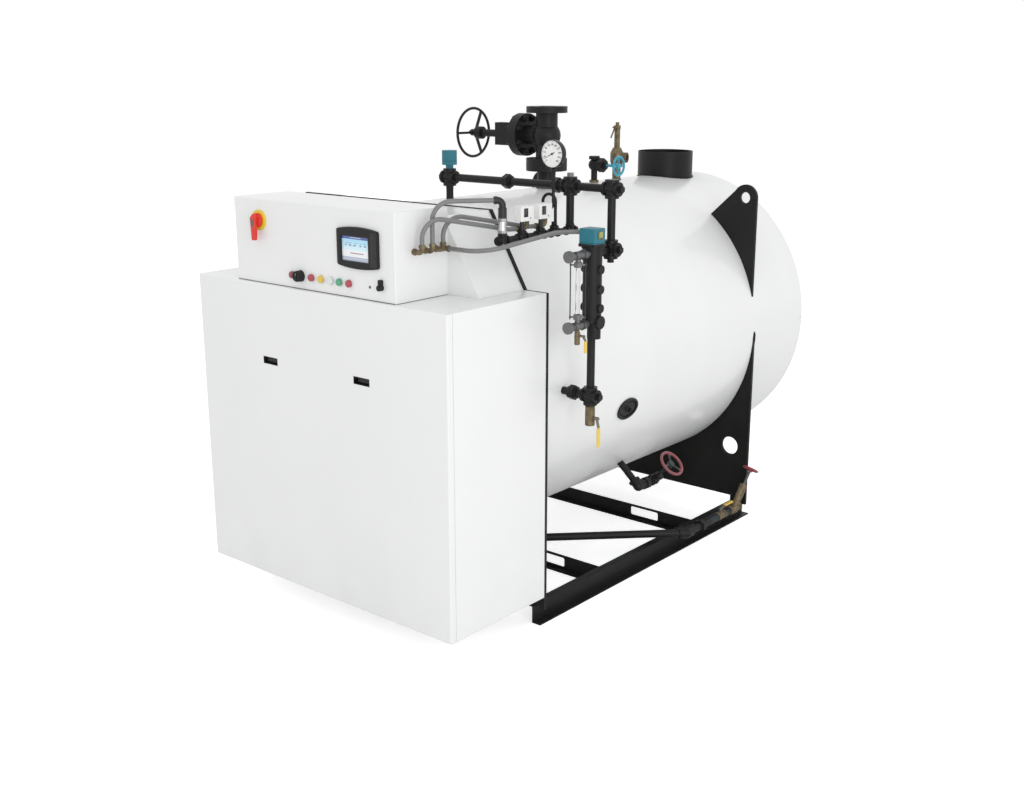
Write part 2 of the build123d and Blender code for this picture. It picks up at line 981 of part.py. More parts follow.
def bolt_flange(start, end):
    """Round flange with a circle of bolt holes."""
    body = bar(start, end, flange_radius)
    way = (Vector(*end) - Vector(*start)).normalized()
    plane = Plane(Vector(*start), z_dir=way)
    for i in range(flange_holes):
        turn = math.tau * (i + hole_turn_share) / flange_holes
        spot = (flange_bolt_circle * math.cos(turn), flange_bolt_circle * math.sin(turn), 0)
        hole = plane.from_local_coords(spot)
        body -= bar(hole, ahead(hole, way, (Vector(*end) - Vector(*start)).length), flange_hole)
    return body


def steam_nozzle():
    """Steam outlet nozzle with its flange."""
    foot = (0, steam_y, axis_height)
    face = (0, steam_y, steam_base)
    body = bar(foot, ahead(face, down_way, flange_thickness), nozzle_radius)
    body += bolt_flange(ahead(face, down_way, flange_thickness), face)
    body -= bar(foot, face, nozzle_bore)
    return body - shell_solid(shell_radius)


def steam_valve():
    """Valve body with a flange below, a flange on top and a barrel to the left."""
    low = (0, steam_y, steam_base)
    high = (0, steam_y, steam_top)
    centre = (0, steam_y, steam_level)
    low_face = ahead(low, up_way, flange_thickness)
    high_face = ahead(high, down_way, flange_thickness)
    body = bar(low_face, high_face, valve_body_radius)
    body += ball(centre, valve_ball_radius)
    body += bolt_flange(low, low_face) + bolt_flange(high_face, high)
    barrel = ahead(centre, left_way, valve_barrel_end)
    body += bar(centre, barrel, valve_barrel_radius)
    body += bar(barrel, ahead(barrel, left_way, bonnet_flange_thickness), bonnet_flange_radius)
    return body - bar(low, high, nozzle_bore)


def steam_yoke():
    """Bonnet flange, bonnet cone, open yoke and the sleeve that carry the stem."""
    centre = (0, steam_y, steam_level)
    face = ahead(centre, left_way, valve_barrel_end + bonnet_flange_thickness)
    neck = ahead(face, left_way, bonnet_flange_thickness)
    body = bar(face, neck, bonnet_flange_radius)
    plane = Plane(Vector(*neck), z_dir=(-1, 0, 0))
    root = bonnet_flange_radius * bonnet_root_share
    body += Solid.make_cone(root, bonnet_end_radius, bonnet_length, plane)
    x1 = neck[0] - bonnet_length
    x0 = x1 - yoke_length
    half, tall = yoke_width / 2, yoke_height / 2
    body += block(x0, x1, steam_y - half, steam_y + half, steam_level - tall, steam_level + tall)
    gap = half - yoke_wall
    low, high = steam_level - tall, steam_level + tall
    body -= block(x0 + yoke_wall, x1 - yoke_wall, steam_y - gap, steam_y + gap, low, high)
    start = (x1, steam_y, steam_level)
    body += bar(start, (x0, steam_y, steam_level), stem_radius * yoke_rod_share)
    end = (x0, steam_y, steam_level)
    return body + bar(end, (yoke_end_x, steam_y, steam_level), stem_sleeve_radius)


def steam_wheel():
    """Large handwheel of the main steam valve, on its stem."""
    start = (yoke_end_x - seat_gap, steam_y, steam_level)
    hub = ahead(start, left_way, stem_length)
    centre = ahead(hub, left_way, wheel_dish)
    sizes = (wheel_radius, wheel_rim, wheel_hub_radius, wheel_hub_length, wheel_spoke, wheel_spokes)
    body = wheel(centre, left_way, front_way, sizes, wheel_dish)
    body += bar(start, ahead(start, left_way, wheel_nut_length), wheel_nut_radius)
    return body + bar(start, ahead(centre, left_way, stem_tip_length), stem_radius)


def union(centre, way):
    """Union: a six-sided nut with a round collar at both sides."""
    start = ahead(centre, way, -union_length / 2)
    end = ahead(centre, way, union_length / 2)
    nut_start = ahead(centre, way, -band_length)
    nut_end = ahead(centre, way, band_length)
    return bar(start, end, fitting_radius) + hexagon(nut_start, nut_end, union_radius)


def plug(centre, way):
    """Six-sided plug in the end of a fitting arm."""
    start = ahead(centre, way, fitting_arm)
    return hexagon(start, ahead(start, way, plug_length), plug_radius)


def header():
    """Header from the left cross on the shell to the right cross, with its drop."""
    left = (0, header_y, header_level)
    tee = (tee_x, header_y, header_level)
    right = (riser_x, header_y, header_level)
    body = bar(left, right, pipe_radius)
    body += fitting(left, (left_way, right_way, up_way, down_way)) + plug(left, left_way)
    body += fitting(tee, (left_way, right_way, up_way, down_way)) + plug(tee, up_way)
    body += fitting(right, (left_way, right_way, up_way, down_way)) + plug(right, right_way)
    body += union((union_x, header_y, header_level), right_way)
    body += union((tee_union_x, header_y, header_level), right_way)
    body += bar(left, (0, header_y, axis_height), pipe_radius) - shell_solid(shell_radius)
    drop = (tee_x, header_y, manifold_level + manifold_saddle_length)
    return body + bar(tee, drop, pipe_radius)


def probe():
    """Low-water probe head on the left cross."""
    start = (0, header_y, header_level + fitting_arm)
    neck = bar(start, ahead(start, up_way, probe_neck_length), probe_neck_radius)
    half = probe_width / 2
    low = start[2] + probe_neck_length
    box = block(-half, half, header_y - half, header_y + half, low, low + probe_height)
    return neck + fillet(box.edges().filter_by(Axis.Z), probe_edge_radius)


def riser():
    """Riser from the right cross down to the lower cross and into the column."""
    top = (riser_x, header_y, header_level - fitting_arm)
    low = (riser_x, header_y, riser_bottom)
    body = bar(top, low, pipe_radius)
    body += fitting(low, (up_way, down_way, right_way, front_way))
    body += plug(low, right_way) + plug(low, down_way)
    body += bar(low, (riser_x, column_y, riser_bottom), pipe_radius)
    return body - bar((riser_x, column_y, 0), (riser_x, column_y, header_level), column_radius)


def column():
    """Cast water column: bosses on both sides, a cap on top, an offset sump below."""
    low = (riser_x, column_y, column_bottom)
    top = (riser_x, column_y, column_top)
    body = bar(low, top, column_radius)
    body += bar(top, ahead(top, up_way, column_cap_thickness), column_cap_radius)
    for level in boss_levels:
        start = (riser_x, column_y, level)
        body += bar(start, ahead(start, right_way, boss_reach), boss_radius)
        body += bar(start, ahead(start, left_way, column_radius + boss_left_reach), boss_radius)
    start = (riser_x, column_y, big_boss_level)
    body += bar(start, ahead(start, right_way, boss_reach), big_boss_radius)
    sump_top = (riser_x + sump_shift, column_y, column_bottom)
    sump_low = ahead(sump_top, down_way, sump_length)
    body += bar(sump_low, sump_top, sump_radius)
    return body


def column_head():
    """Switch head of the water column."""
    low = column_top + column_cap_thickness
    x = riser_x
    y = column_y
    half = head_width / 2
    deep = head_depth / 2
    body = block(x - half, x + half, y - deep, y + deep, low, low + head_height)
    return fillet(body.edges().filter_by(Axis.Z), head_edge_radius)


def glass_point(level):
    """Point on the axis of the gauge glass."""
    return (riser_x, column_y - glass_offset, level)


def glass_fittings():
    """Upper and lower gauge cocks with their knobs, packing nuts and guard rods."""
    core = bar((riser_x, column_y, 0), (riser_x, column_y, header_level), column_radius)
    body = None
    for level, way in zip(cock_levels, (down_way, up_way)):
        start = (riser_x, column_y, level)
        knob = ahead(start, front_way, cock_reach)
        cock = bar(start, knob, cock_radius)
        cock += bar(ahead(knob, back_way, cock_knob_thickness), knob, cock_knob_radius)
        cock += bar(start, ahead(start, front_way, cock_body_reach), cock_body_radius)
        seat = glass_point(level)
        nut = ahead(seat, way, cock_nut_drop)
        nut_end = ahead(nut, way, cock_nut_length)
        cock += bar(seat, nut, cock_radius) + hexagon(nut, nut_end, cock_nut_radius)
        cock += guard_lug(nut, nut_end)
        cock -= bar(nut, nut_end, glass_radius)
        body = cock if body is None else body + cock
    for side in (-guard_radius, guard_radius):
        x, y = guard_place(side)
        low, high = min(cock_levels), max(cock_levels)
        start = (x, y, low + cock_nut_drop)
        body += bar(start, (x, y, high - cock_nut_drop), guard_rod)
    return body - core


def guard_place(side):
    """Place of one guard rod beside the glass, seen from above."""
    turn = math.radians(guard_angle)
    x, y, _ = glass_point(0)
    return x + side * math.cos(turn), y + side * math.sin(turn)


def guard_lug(start, end):
    """Flat lug across a packing nut that holds both guard rods."""
    middle = (Vector(*start) + Vector(*end)) / 2
    reach = 2 * guard_radius + 2 * guard_lug_end
    lug = Rot(0, 0, guard_angle) * Box(reach, guard_lug_width, guard_lug_height)
    return Pos(*middle) * lug


def gauge_glass():
    """Glass tube between the two cocks."""
    low, high = min(cock_levels), max(cock_levels)
    sink = cock_nut_drop
    return bar(glass_point(low + sink), glass_point(high - sink), glass_radius)


def column_pipe():
    """Lower pipe of the column with its cross and the union into the shell."""
    top = (riser_x, column_y, column_bottom - sump_length)
    cross = (riser_x, column_y, lower_cross_level)
    body = bar(top, cross, pipe_radius) + fitting(cross, (up_way, down_way, left_way, right_way))
    body += plug(cross, right_way)
    inside = (shell_radius * shell_sink_share, column_y, lower_cross_level)
    body += bar(cross, inside, pipe_radius)
    body += union(ahead(cross, left_way, lower_union_run), left_way)
    return body - shell_solid(shell_radius)


def ball_body(centre, way, side, sizes):
    """Ball valve body along its pipe, with a six-sided end each way and a stem boss."""
    radius, length, hex_radius, hex_length, boss_radius_here = sizes
    start = ahead(centre, way, -length / 2)
    end = ahead(centre, way, length / 2)
    body = bar(start, end, radius)
    body += hexagon(start, ahead(start, way, hex_length), hex_radius)
    body += hexagon(ahead(end, way, -hex_length), end, hex_radius)
    boss = ahead(centre, side, radius + lever_gap)
    return body + bar(centre, boss, boss_radius_here)


def column_valve():
    """Brass ball valve with its spout under the column, and the small one of the glass."""
    centre = (riser_x, column_y, column_ball_level)
    top = (riser_x, column_y, lower_cross_level - fitting_arm)
    end = ahead(centre, down_way, ball_body_length / 2)
    body = ball_body(centre, down_way, right_way, ball_sizes) + bar(centre, top, pipe_radius)
    spout = body + bar(end, ahead(end, down_way, spout_length), pipe_radius)
    low = glass_point(min(cock_levels))
    small = ball_body(glass_point(glass_ball_level), down_way, right_way, glass_ball_sizes)
    small += bar(ahead(low, down_way, cock_body_radius), glass_point(glass_ball_level), cock_radius)
    return Compound(children=[spout, small])


def column_lever():
    """Lever of the column ball valve, hanging down along the pipe."""
    side = ball_body_radius + lever_gap + seat_gap
    start = ahead((riser_x, column_y, column_ball_level), right_way, side)
    return lever(start, right_way, down_way, lever_sizes)


def glass_lever():
    """Lever of the small ball valve under the gauge glass, hanging down."""
    side = glass_ball_radius + lever_gap + seat_gap
    start = ahead(glass_point(glass_ball_level), right_way, side)
    return lever(start, right_way, down_way, glass_lever_sizes)


def manifold():
    """Limit manifold along the right of the shell with a fitting under each riser."""
    start = (tee_x, manifold_front_y, manifold_level)
    end = (tee_x, manifold_back_y, manifold_level)
    body = bar(start, end, manifold_radius)
    body += bar(start, ahead(start, back_way, manifold_cap_length), manifold_saddle_radius)
    for y in (end_valve_y, gauge_y, header_y):
        base = (tee_x, y, manifold_level)
        body += bar(base, ahead(base, up_way, manifold_saddle_length), manifold_saddle_radius)
    for y in limit_ys:
        base = (tee_x, y, manifold_level)
        body += bar(base, ahead(base, up_way, limit_saddle_length), manifold_saddle_radius)
    return body


def end_valve():
    """Test valve at the front end of the manifold, its nipple and a bend to the conduit."""
    base = (tee_x, end_valve_y, manifold_level + manifold_saddle_length)
    neck = ahead(base, up_way, end_valve_rise)
    top = (tee_x, end_valve_y, conduit_top)
    nipple = ahead(neck, up_way, end_nipple_rise)
    body = bar(base, neck, end_valve_radius) + bar(neck, nipple, manifold_saddle_radius)
    body = body + pipe_bend([nipple, top, elbow_mouth()], elbow_bend, manifold_radius)
    back = (Vector(*top) - Vector(*elbow_mouth())).normalized()
    return body + bar(elbow_mouth(), ahead(elbow_mouth(), tuple(back), connector_nut), end_valve_radius)


def limits():
    """Two pressure controls, each a case on its stem."""
    shapes = []
    for y in limit_ys:
        base = (tee_x, y, manifold_level + limit_saddle_length)
        half = limit_width / 2
        front = y + limit_case_shift - limit_depth / 2
        left, right = tee_x - half, tee_x + half
        top = limit_low + limit_height
        case = block(left, right, front, front + limit_depth, limit_low, top)
        case = fillet(case.edges().filter_by(Axis.Z), limit_edge_radius)
        shapes.append(case + bar(base, (tee_x, y, limit_low), limit_stem_radius))
    return Compound(children=shapes)


def gauge():
    """Pressure gauge: round case with a recessed face and a stub below."""
    y = gauge_y + siphon_shift
    front = (tee_x, y - gauge_depth / 2, gauge_level)
    back = ahead(front, back_way, gauge_depth)
    face = ahead(front, back_way, gauge_lens_recess)
    low = (tee_x, y, gauge_level - gauge_radius - gauge_stub_length)
    body = bar(front, back, gauge_radius) + bar(low, (tee_x, y, gauge_level), gauge_stub_radius)
    return body - bar(front, face, gauge_radius - gauge_bezel)


def siphon():
    """Steel siphon from the manifold to the gauge, with one full loop to the left."""
    low = manifold_level + manifold_saddle_length
    high = gauge_level - gauge_radius - gauge_stub_length
    near = gauge_y - siphon_shift
    far = gauge_y + siphon_shift
    lead = siphon_loop_radius * loop_lead_share
    points = [(tee_x, near, low), (tee_x, near, siphon_loop_level - lead)]
    for i in range(loop_steps + 1):
        share = i / loop_steps
        turn = math.tau * share
        x = tee_x - siphon_loop_radius + siphon_loop_radius * math.cos(turn)
        z = siphon_loop_level + siphon_loop_radius * math.sin(turn)
        points.append((x, near + (far - near) * share, z))
    points += [(tee_x, far, siphon_loop_level + lead), (tee_x, far, high)]
    path = Spline(*points, tangents=[(0, 0, 1), (0, 0, 1)])
    start = Plane((tee_x, near, low), z_dir=(0, 0, 1))
    return sweep(start * Circle(siphon_radius), path=path)


def vent_valve():
    """Vent valve lying on its side over a short nipple on the shell."""
    axis = (0, vent_y, axis_height)
    foot = ahead(vent_base, up_way, vent_foot_thickness)
    body = bar(axis, foot, vent_foot_radius) + bar(foot, vent_centre, vent_stub_radius)
    body += ball(vent_centre, vent_body_radius)
    cap = ahead(vent_centre, up_way, vent_cap_rise)
    cap_low = ahead(cap, down_way, vent_hex_length / 2)
    body += bar(vent_centre, cap, vent_neck_radius) + hexagon(cap_low, cap, vent_body_radius)
    hex_start = ahead(vent_centre, right_way, vent_body_radius)
    hex_end = ahead(hex_start, right_way, vent_hex_length)
    body += hexagon(hex_start, hex_end, vent_hex_radius) + bar(vent_centre, hex_start, vent_neck_radius)
    body += bar(hex_end, ahead(hex_end, right_way, vent_hex_length / 2), vent_neck_radius)
    return body - shell_solid(shell_radius)


def vent_wheel():
    """Handwheel of the vent valve, on its stem."""
    start_x = vent_body_radius + vent_hex_length + vent_hex_length / 2 + seat_gap
    centre = (vent_wheel_x, vent_y, vent_level)
    sizes = (vent_wheel_radius, vent_wheel_rim, vent_wheel_hub, vent_wheel_hub_length)
    sizes += (vent_wheel_spoke, vent_wheel_spokes)
    body = wheel(centre, right_way, up_way, sizes, vent_wheel_dish)
    return body + bar((start_x, vent_y, vent_level), centre, vent_stem_radius)


def safety_valve():
    """Spring safety valve with its outlet to the right and a pin for its lever."""
    axis = (0, relief_y, axis_height)
    hex_low = (0, relief_y, shell_top + relief_inlet_length)
    body_low = ahead(hex_low, up_way, relief_hex_length)
    body_high = ahead(body_low, up_way, relief_body_length)
    collar = ahead(body_high, up_way, relief_collar_length)
    neck = ahead(collar, up_way, relief_neck_length)
    nut = ahead(neck, up_way, relief_nut_length)
    body = bar(axis, hex_low, relief_inlet_radius) + hexagon(hex_low, body_low, relief_hex_radius)
    body += bar(body_low, body_high, relief_body_radius) + bar(collar, neck, relief_neck_radius)
    plane = Plane(Vector(*body_high))
    body += Solid.make_cone(relief_body_radius, relief_collar_radius, relief_collar_length, plane)
    body += hexagon(neck, nut, relief_nut_radius)
    body += bar(nut, ahead(nut, up_way, relief_cap_length), relief_cap_radius)
    turn = math.radians(relief_turn)
    way = (math.cos(turn), math.sin(turn), 0)
    middle = ahead(body_low, up_way, relief_body_length / 2)
    mouth = ahead(middle, way, relief_outlet_reach)
    body += bar(middle, mouth, relief_outlet_radius)
    body -= bar(ahead(middle, way, relief_body_radius), mouth, relief_outlet_bore)
    return body - shell_solid(shell_radius)


def relief_pivot():
    """Pivot of the test lever, just in front of the nut."""
    level = relief_base + relief_neck_length + relief_nut_length / 2
    flat = relief_nut_radius * math.cos(math.pi / hex_sides)
    return (0, relief_y - flat - relief_lever_eye - seat_gap, level)


def relief_lever_way():
    """Direction of the test lever at rest."""
    lean = math.radians(relief_lever_lean)
    return (0, -math.sin(lean), -math.cos(lean))


def relief_lever():
    """Test lever of the safety valve, hanging forward from the nut."""
    pivot = relief_pivot()
    start = ahead(pivot, right_way, -relief_lever_width / 2)
    end = ahead(pivot, right_way, relief_lever_width / 2)
    way = relief_lever_way()
    tip = ahead(pivot, way, relief_lever_length)
    return bar(start, end, relief_lever_eye) + bar(pivot, tip, relief_lever_radius)


def blow_point(y):
    """Point on the rearward run of the blowdown line."""
    return (blow_elbow_x, y, blow_elbow_level)


def blow_pipe():
    """Blowdown pipe from the shell, elbow, union and the stub behind the valve."""
    turn = math.radians(blow_angle)
    way = (math.sin(turn), 0, math.cos(turn))
    root = ahead((0, blow_y, axis_height), way, shell_radius * shell_sink_share)
    corner = blow_point(blow_y)
    valve_start = blow_point(blow_valve_y - blow_valve_length / 2)
    body = bar(root, corner, blow_pipe_radius) + bar(corner, valve_start, blow_pipe_radius)
    body += ball(corner, fitting_radius * bulge_share)
    lean = (Vector(*root) - Vector(*corner)).normalized()
    lean = (lean.X, lean.Y, lean.Z)
    arm = ahead(corner, lean, fitting_arm)
    body += bar(corner, arm, fitting_radius)
    body += bar(ahead(arm, lean, -band_length), arm, band_radius)
    union_mid = blow_point(blow_y + fitting_arm + union_length / 2)
    body += bar(corner, blow_point(blow_y + fitting_arm), fitting_radius) + union(union_mid, back_way)
    return body - shell_solid(shell_radius)


def blow_valve():
    """Iron gate valve of the blowdown, its bonnet leaning up and outward."""
    centre = blow_point(blow_valve_y)
    start = blow_point(blow_valve_y - blow_valve_length / 2)
    end = blow_point(blow_valve_y + blow_valve_length / 2)
    barrel_start = blow_point(blow_valve_y - blow_barrel_length / 2)
    barrel_end = blow_point(blow_valve_y + blow_barrel_length / 2)
    body = bar(start, end, blow_bonnet_radius * blow_body_share)
    body += bar(barrel_start, barrel_end, blow_valve_radius)
    body += hexagon(start, ahead(start, back_way, ball_hex_length), ball_hex_radius)
    body += hexagon(ahead(end, front_way, ball_hex_length), end, ball_hex_radius)
    bonnet = ahead(centre, blow_stem_way, blow_bonnet_length)
    body += bar(centre, bonnet, blow_bonnet_radius)
    stub = ahead(end, back_way, blow_end_length)
    body += bar(end, stub, blow_pipe_radius)
    return body - bar(ahead(end, back_way, ball_hex_length), stub, drain_outlet_bore)


def blow_wheel():
    """Handwheel of the blowdown valve, on its stem."""
    centre = blow_point(blow_valve_y)
    start = ahead(centre, blow_stem_way, blow_bonnet_length + seat_gap)
    hub = ahead(centre, blow_stem_way, blow_wheel_reach)
    sizes = (blow_wheel_radius, blow_wheel_rim, blow_wheel_hub, blow_wheel_hub_length)
    sizes += (blow_wheel_spoke, blow_wheel_spokes)
    body = wheel(hub, blow_stem_way, front_way, sizes, blow_wheel_dish)
    return body + bar(start, hub, blow_stem_radius)


def drain_point(y):
    """Point on the rearward run of the drain line."""
    return (drain_x, y, drain_level)


def drain_pipe():
    """Drain line: drop under the shell, slanting run, elbow, union and nipple."""
    root = (0, drain_y, axis_height)
    corner = (0, drain_y, drain_level)
    body = bar(root, corner, drain_pipe_radius) + bar(corner, drain_turn, drain_pipe_radius)
    body += bar(drain_turn, drain_point(ball_front_y), drain_pipe_radius)
    for way in (up_way, drain_diagonal):
        body += bar(corner, ahead(corner, way, fitting_arm), drain_fitting_radius)
    bulge = drain_fitting_radius * bulge_share
    body += ball(corner, bulge) + ball(drain_turn, bulge)
    back = (-drain_diagonal[0], -drain_diagonal[1], 0)
    for way in (back, back_way):
        body += bar(drain_turn, ahead(drain_turn, way, fitting_arm), drain_fitting_radius)
    body += union(drain_point(drain_union_y), back_way)
    return body - shell_solid(shell_radius)


def drain_valve():
    """Brass ball valve of the drain line with the nipple behind it."""
    body = ball_body(drain_point(drain_ball_y), back_way, up_way, ball_sizes)
    return body + bar(drain_point(ball_back_y), drain_point(wye_front_y), drain_pipe_radius)


def drain_lever():
    """Lever of the drain ball valve, along the pipe."""
    start = ahead(drain_point(drain_ball_y), up_way, ball_body_radius + lever_gap + seat_gap)
    return lever(start, up_way, back_way, drain_lever_sizes)


def drain_wye():
    """Slanted-seat valve at the end of the drain line, open at its outlet."""
    start = drain_point(wye_front_y)
    end = drain_point(wye_back_y)
    body = bar(start, end, drain_bonnet_radius) + ball(drain_point(drain_wye_y), drain_wye_radius)
    body += hexagon(start, ahead(start, back_way, ball_hex_length), drain_wye_radius)
    body += hexagon(ahead(end, front_way, ball_hex_length), end, drain_wye_radius)
    centre = drain_point(drain_wye_y)
    body += bar(centre, ahead(centre, wye_way, drain_bonnet_length), drain_bonnet_radius)
    return body - bar(ahead(end, front_way, drain_outlet_depth), end, drain_outlet_bore)


def drain_wheel():
    """Handwheel of the slanted-seat valve, on its stem."""
    centre = drain_point(drain_wye_y)
    start = ahead(centre, wye_way, drain_bonnet_length + seat_gap)
    hub = ahead(centre, wye_way, drain_bonnet_length + drain_stem_length)
    sizes = (drain_wheel_radius, drain_wheel_rim, vent_wheel_hub, vent_wheel_hub_length)
    sizes += (blow_wheel_spoke, blow_wheel_spokes)
    body = wheel(hub, wye_way, wye_side, sizes, vent_wheel_dish)
    return body + bar(start, hub, blow_stem_radius)


save(cabinet(), "burner_cabinet")
save(pulls(), "cabinet_pulls")
save(front_plate(), "front_plate")
save(hood(), "burner_hood")
save(control_box(), "control_box")
save(bezel(), "screen_bezel")
save(screen(), "screen")
save(disconnect_plate(), "disconnect_plate")
save(disconnect_handle(), "disconnect_handle")
save(lights(), "pilot_lights")
save(knob(), "selector_knob")
save(connectors(), "conduit_connectors")
save(conduits(), "conduits")
save(jacket(), "shell_jacket")
save(rear_end(), "rear_end")
save(stack(), "flue_outlet")
save(handholes(), "handhole_covers")
save(saddle(), "rear_saddle")
save(lugs(), "lifting_lugs")
save(rails(), "skid_rails")
save(cross_members(), "cross_members")
save(steam_nozzle(), "steam_nozzle")
save(steam_valve(), "steam_valve")
save(steam_yoke(), "steam_valve_yoke")
save(steam_wheel(), "steam_handwheel")
save(header(), "steam_header")
save(probe(), "low_water_probe")
save(riser(), "column_riser")
save(column(), "water_column")
save(column_head(), "column_head")
save(glass_fittings(), "gauge_glass_cocks")
save(gauge_glass(), "gauge_glass")
save(column_pipe(), "column_pipe")
save(column_valve(), "column_valve")
save(column_lever(), "column_lever")
save(glass_lever(), "glass_cock_lever")
save(manifold(), "limit_manifold")
save(end_valve(), "manifold_valve")
save(limits(), "pressure_controls")
save(gauge(), "pressure_gauge")
save(siphon(), "gauge_siphon")
save(vent_valve(), "vent_valve")
save(vent_wheel(), "vent_handwheel")
save(safety_valve(), "safety_valve")
save(relief_lever(), "relief_lever")
save(blow_pipe(), "blowdown_pipe")
save(blow_valve(), "blowdown_valve")
save(blow_wheel(), "blowdown_handwheel")
save(drain_pipe(), "drain_pipe")
save(drain_valve(), "drain_valve")
save(drain_lever(), "drain_lever")
save(drain_wye(), "drain_wye_valve")
save(drain_wheel(), "drain_handwheel")
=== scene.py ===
import bmesh
import bpy
import math
import numpy as np
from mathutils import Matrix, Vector


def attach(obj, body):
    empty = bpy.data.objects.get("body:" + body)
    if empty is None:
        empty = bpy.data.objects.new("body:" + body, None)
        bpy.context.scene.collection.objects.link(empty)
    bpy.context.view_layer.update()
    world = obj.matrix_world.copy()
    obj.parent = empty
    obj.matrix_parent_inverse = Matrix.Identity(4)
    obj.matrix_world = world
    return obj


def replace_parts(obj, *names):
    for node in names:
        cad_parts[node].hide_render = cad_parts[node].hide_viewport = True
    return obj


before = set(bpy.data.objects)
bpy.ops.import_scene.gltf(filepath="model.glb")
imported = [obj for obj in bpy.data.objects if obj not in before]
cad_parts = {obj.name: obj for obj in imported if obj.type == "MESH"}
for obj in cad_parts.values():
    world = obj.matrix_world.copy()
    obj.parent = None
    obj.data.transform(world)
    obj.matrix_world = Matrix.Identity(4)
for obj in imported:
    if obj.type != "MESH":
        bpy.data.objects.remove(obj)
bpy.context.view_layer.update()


# Studio. A plain pale floor that keeps only the soft shadow of the skid, an even
# white surround, and one broad lamp from the right of the camera. The camera stands
# where the front right view of the package is taken, about 5.8 m from its middle.
class Wire:
    """A socket of a material's nodes: sums, products and comparisons with it add Math nodes."""

    def __init__(self, tree, socket=None):
        self.tree = tree
        self.socket = socket

    def node(self, kind, settings=(), inputs=(), out=0):
        """Adds a node, sets it first, then gives its sockets their numbers or wires."""
        made = self.tree.nodes.new(kind)
        for name, value in dict(settings).items():
            setattr(made, name, value)
        for name, value in dict(inputs).items():
            if isinstance(value, Wire):
                self.tree.links.new(value.socket, made.inputs[name])
            else:
                made.inputs[name].default_value = value
        return Wire(self.tree, made.outputs[out] if len(made.outputs) else None)

    def maths(self, operation, *values):
        """One Math node on wires and numbers."""
        return self.node("ShaderNodeMath", {"operation": operation}, dict(enumerate(values)))

    def vector(self, operation, other, out=0):
        """One Vector Math node on this vector and another."""
        return self.node("ShaderNodeVectorMath", {"operation": operation}, {0: self, 1: other}, out)

    def __add__(self, other):
        return self.maths("ADD", self, other)

    __radd__ = __add__

    def __sub__(self, other):
        return self.maths("SUBTRACT", self, other)

    def __rsub__(self, other):
        return self.maths("SUBTRACT", other, self)

    def __mul__(self, other):
        return self.maths("MULTIPLY", self, other)

    __rmul__ = __mul__

    def __truediv__(self, other):
        return self.maths("DIVIDE", self, other)

    def __gt__(self, other):
        return self.maths("GREATER_THAN", self, other)

    def __lt__(self, other):
        return self.maths("LESS_THAN", self, other)

    def between(self, low, high):
        """1 where this value lies between the two limits."""
        return (self > low) * (self < high)

    def near(self, middle, half, soft):
        """1 within half of the middle, falling to 0 over the soft width outside it."""
        return 1 - self.maths("ABSOLUTE", self - middle).rise(half, half + soft)

    def rise(self, low, high):
        """0 below low, 1 above high, smooth between them."""
        ends = {0: self, 1: low, 2: high}
        return self.node("ShaderNodeMapRange", {"interpolation_type": "SMOOTHSTEP"}, ends)

    def mix(self, first, second):
        """Colour that goes from first to second as this value goes from 0 to 1; each is
        three numbers or a wire."""
        ends = [end if isinstance(end, Wire) else (*end, 1) for end in (first, second)]
        colours = {0: self, 6: ends[0], 7: ends[1]}
        return self.node("ShaderNodeMix", {"data_type": "RGBA"}, colours, out=2)


world = bpy.data.worlds.new("studio")
bpy.context.scene.world = world
world.use_nodes = True
sky = Wire(world.node_tree)
world.node_tree.nodes.clear()
seen = sky.node("ShaderNodeLightPath", out="Is Camera Ray")
passed = sky.node("ShaderNodeLightPath", out="Is Transmission Ray")
white_share = seen.maths("MAXIMUM", seen, passed)
even_light = 0.95
strength = white_share * (1 - even_light) + even_light
backdrop = sky.node("ShaderNodeBackground", {}, {"Color": (1, 1, 1, 1), "Strength": strength})
sky.node("ShaderNodeOutputWorld", {}, {"Surface": backdrop})

floor_half = 14
floor_mesh = bpy.data.meshes.new("floor")
corners = [(-floor_half, -floor_half, 0), (floor_half, -floor_half, 0)]
corners += [(floor_half, floor_half, 0), (-floor_half, floor_half, 0)]
floor_mesh.from_pydata(corners, [], [(0, 1, 2, 3)])
floor_paint = bpy.data.materials.new("pale_floor")
floor_paint.use_nodes = True
floor_paint.node_tree.nodes.clear()
ground = Wire(floor_paint.node_tree)
seen = ground.node("ShaderNodeLightPath", out="Is Camera Ray")
floor_grey, floor_glow = 0.84, 0.60
lit = ground.node("ShaderNodeBsdfDiffuse", {}, {"Color": (floor_grey, floor_grey, floor_grey, 1)})
glow = ground.node("ShaderNodeEmission", {}, {"Color": (1, 1, 1, 1), "Strength": seen * floor_glow})
both = ground.node("ShaderNodeAddShader", {}, {0: lit, 1: glow})
ground.node("ShaderNodeOutputMaterial", {}, {"Surface": both})
floor_mesh.materials.append(floor_paint)
floor = bpy.data.objects.new("floor", floor_mesh)
bpy.context.scene.collection.objects.link(floor)

lamp_data = bpy.data.lights.new("side_lamp", "AREA")
lamp_data.shape = "SQUARE"
lamp_data.size = 4.0
lamp_data.energy = 106
side_lamp = bpy.data.objects.new("side_lamp", lamp_data)
side_lamp.location = (6.5, -3.7, 2.2)
package_middle = Vector((0.0, 0.2, 1.0))
aim = package_middle - side_lamp.location
side_lamp.rotation_euler = aim.to_track_quat("-Z", "Y").to_euler()
bpy.context.scene.collection.objects.link(side_lamp)

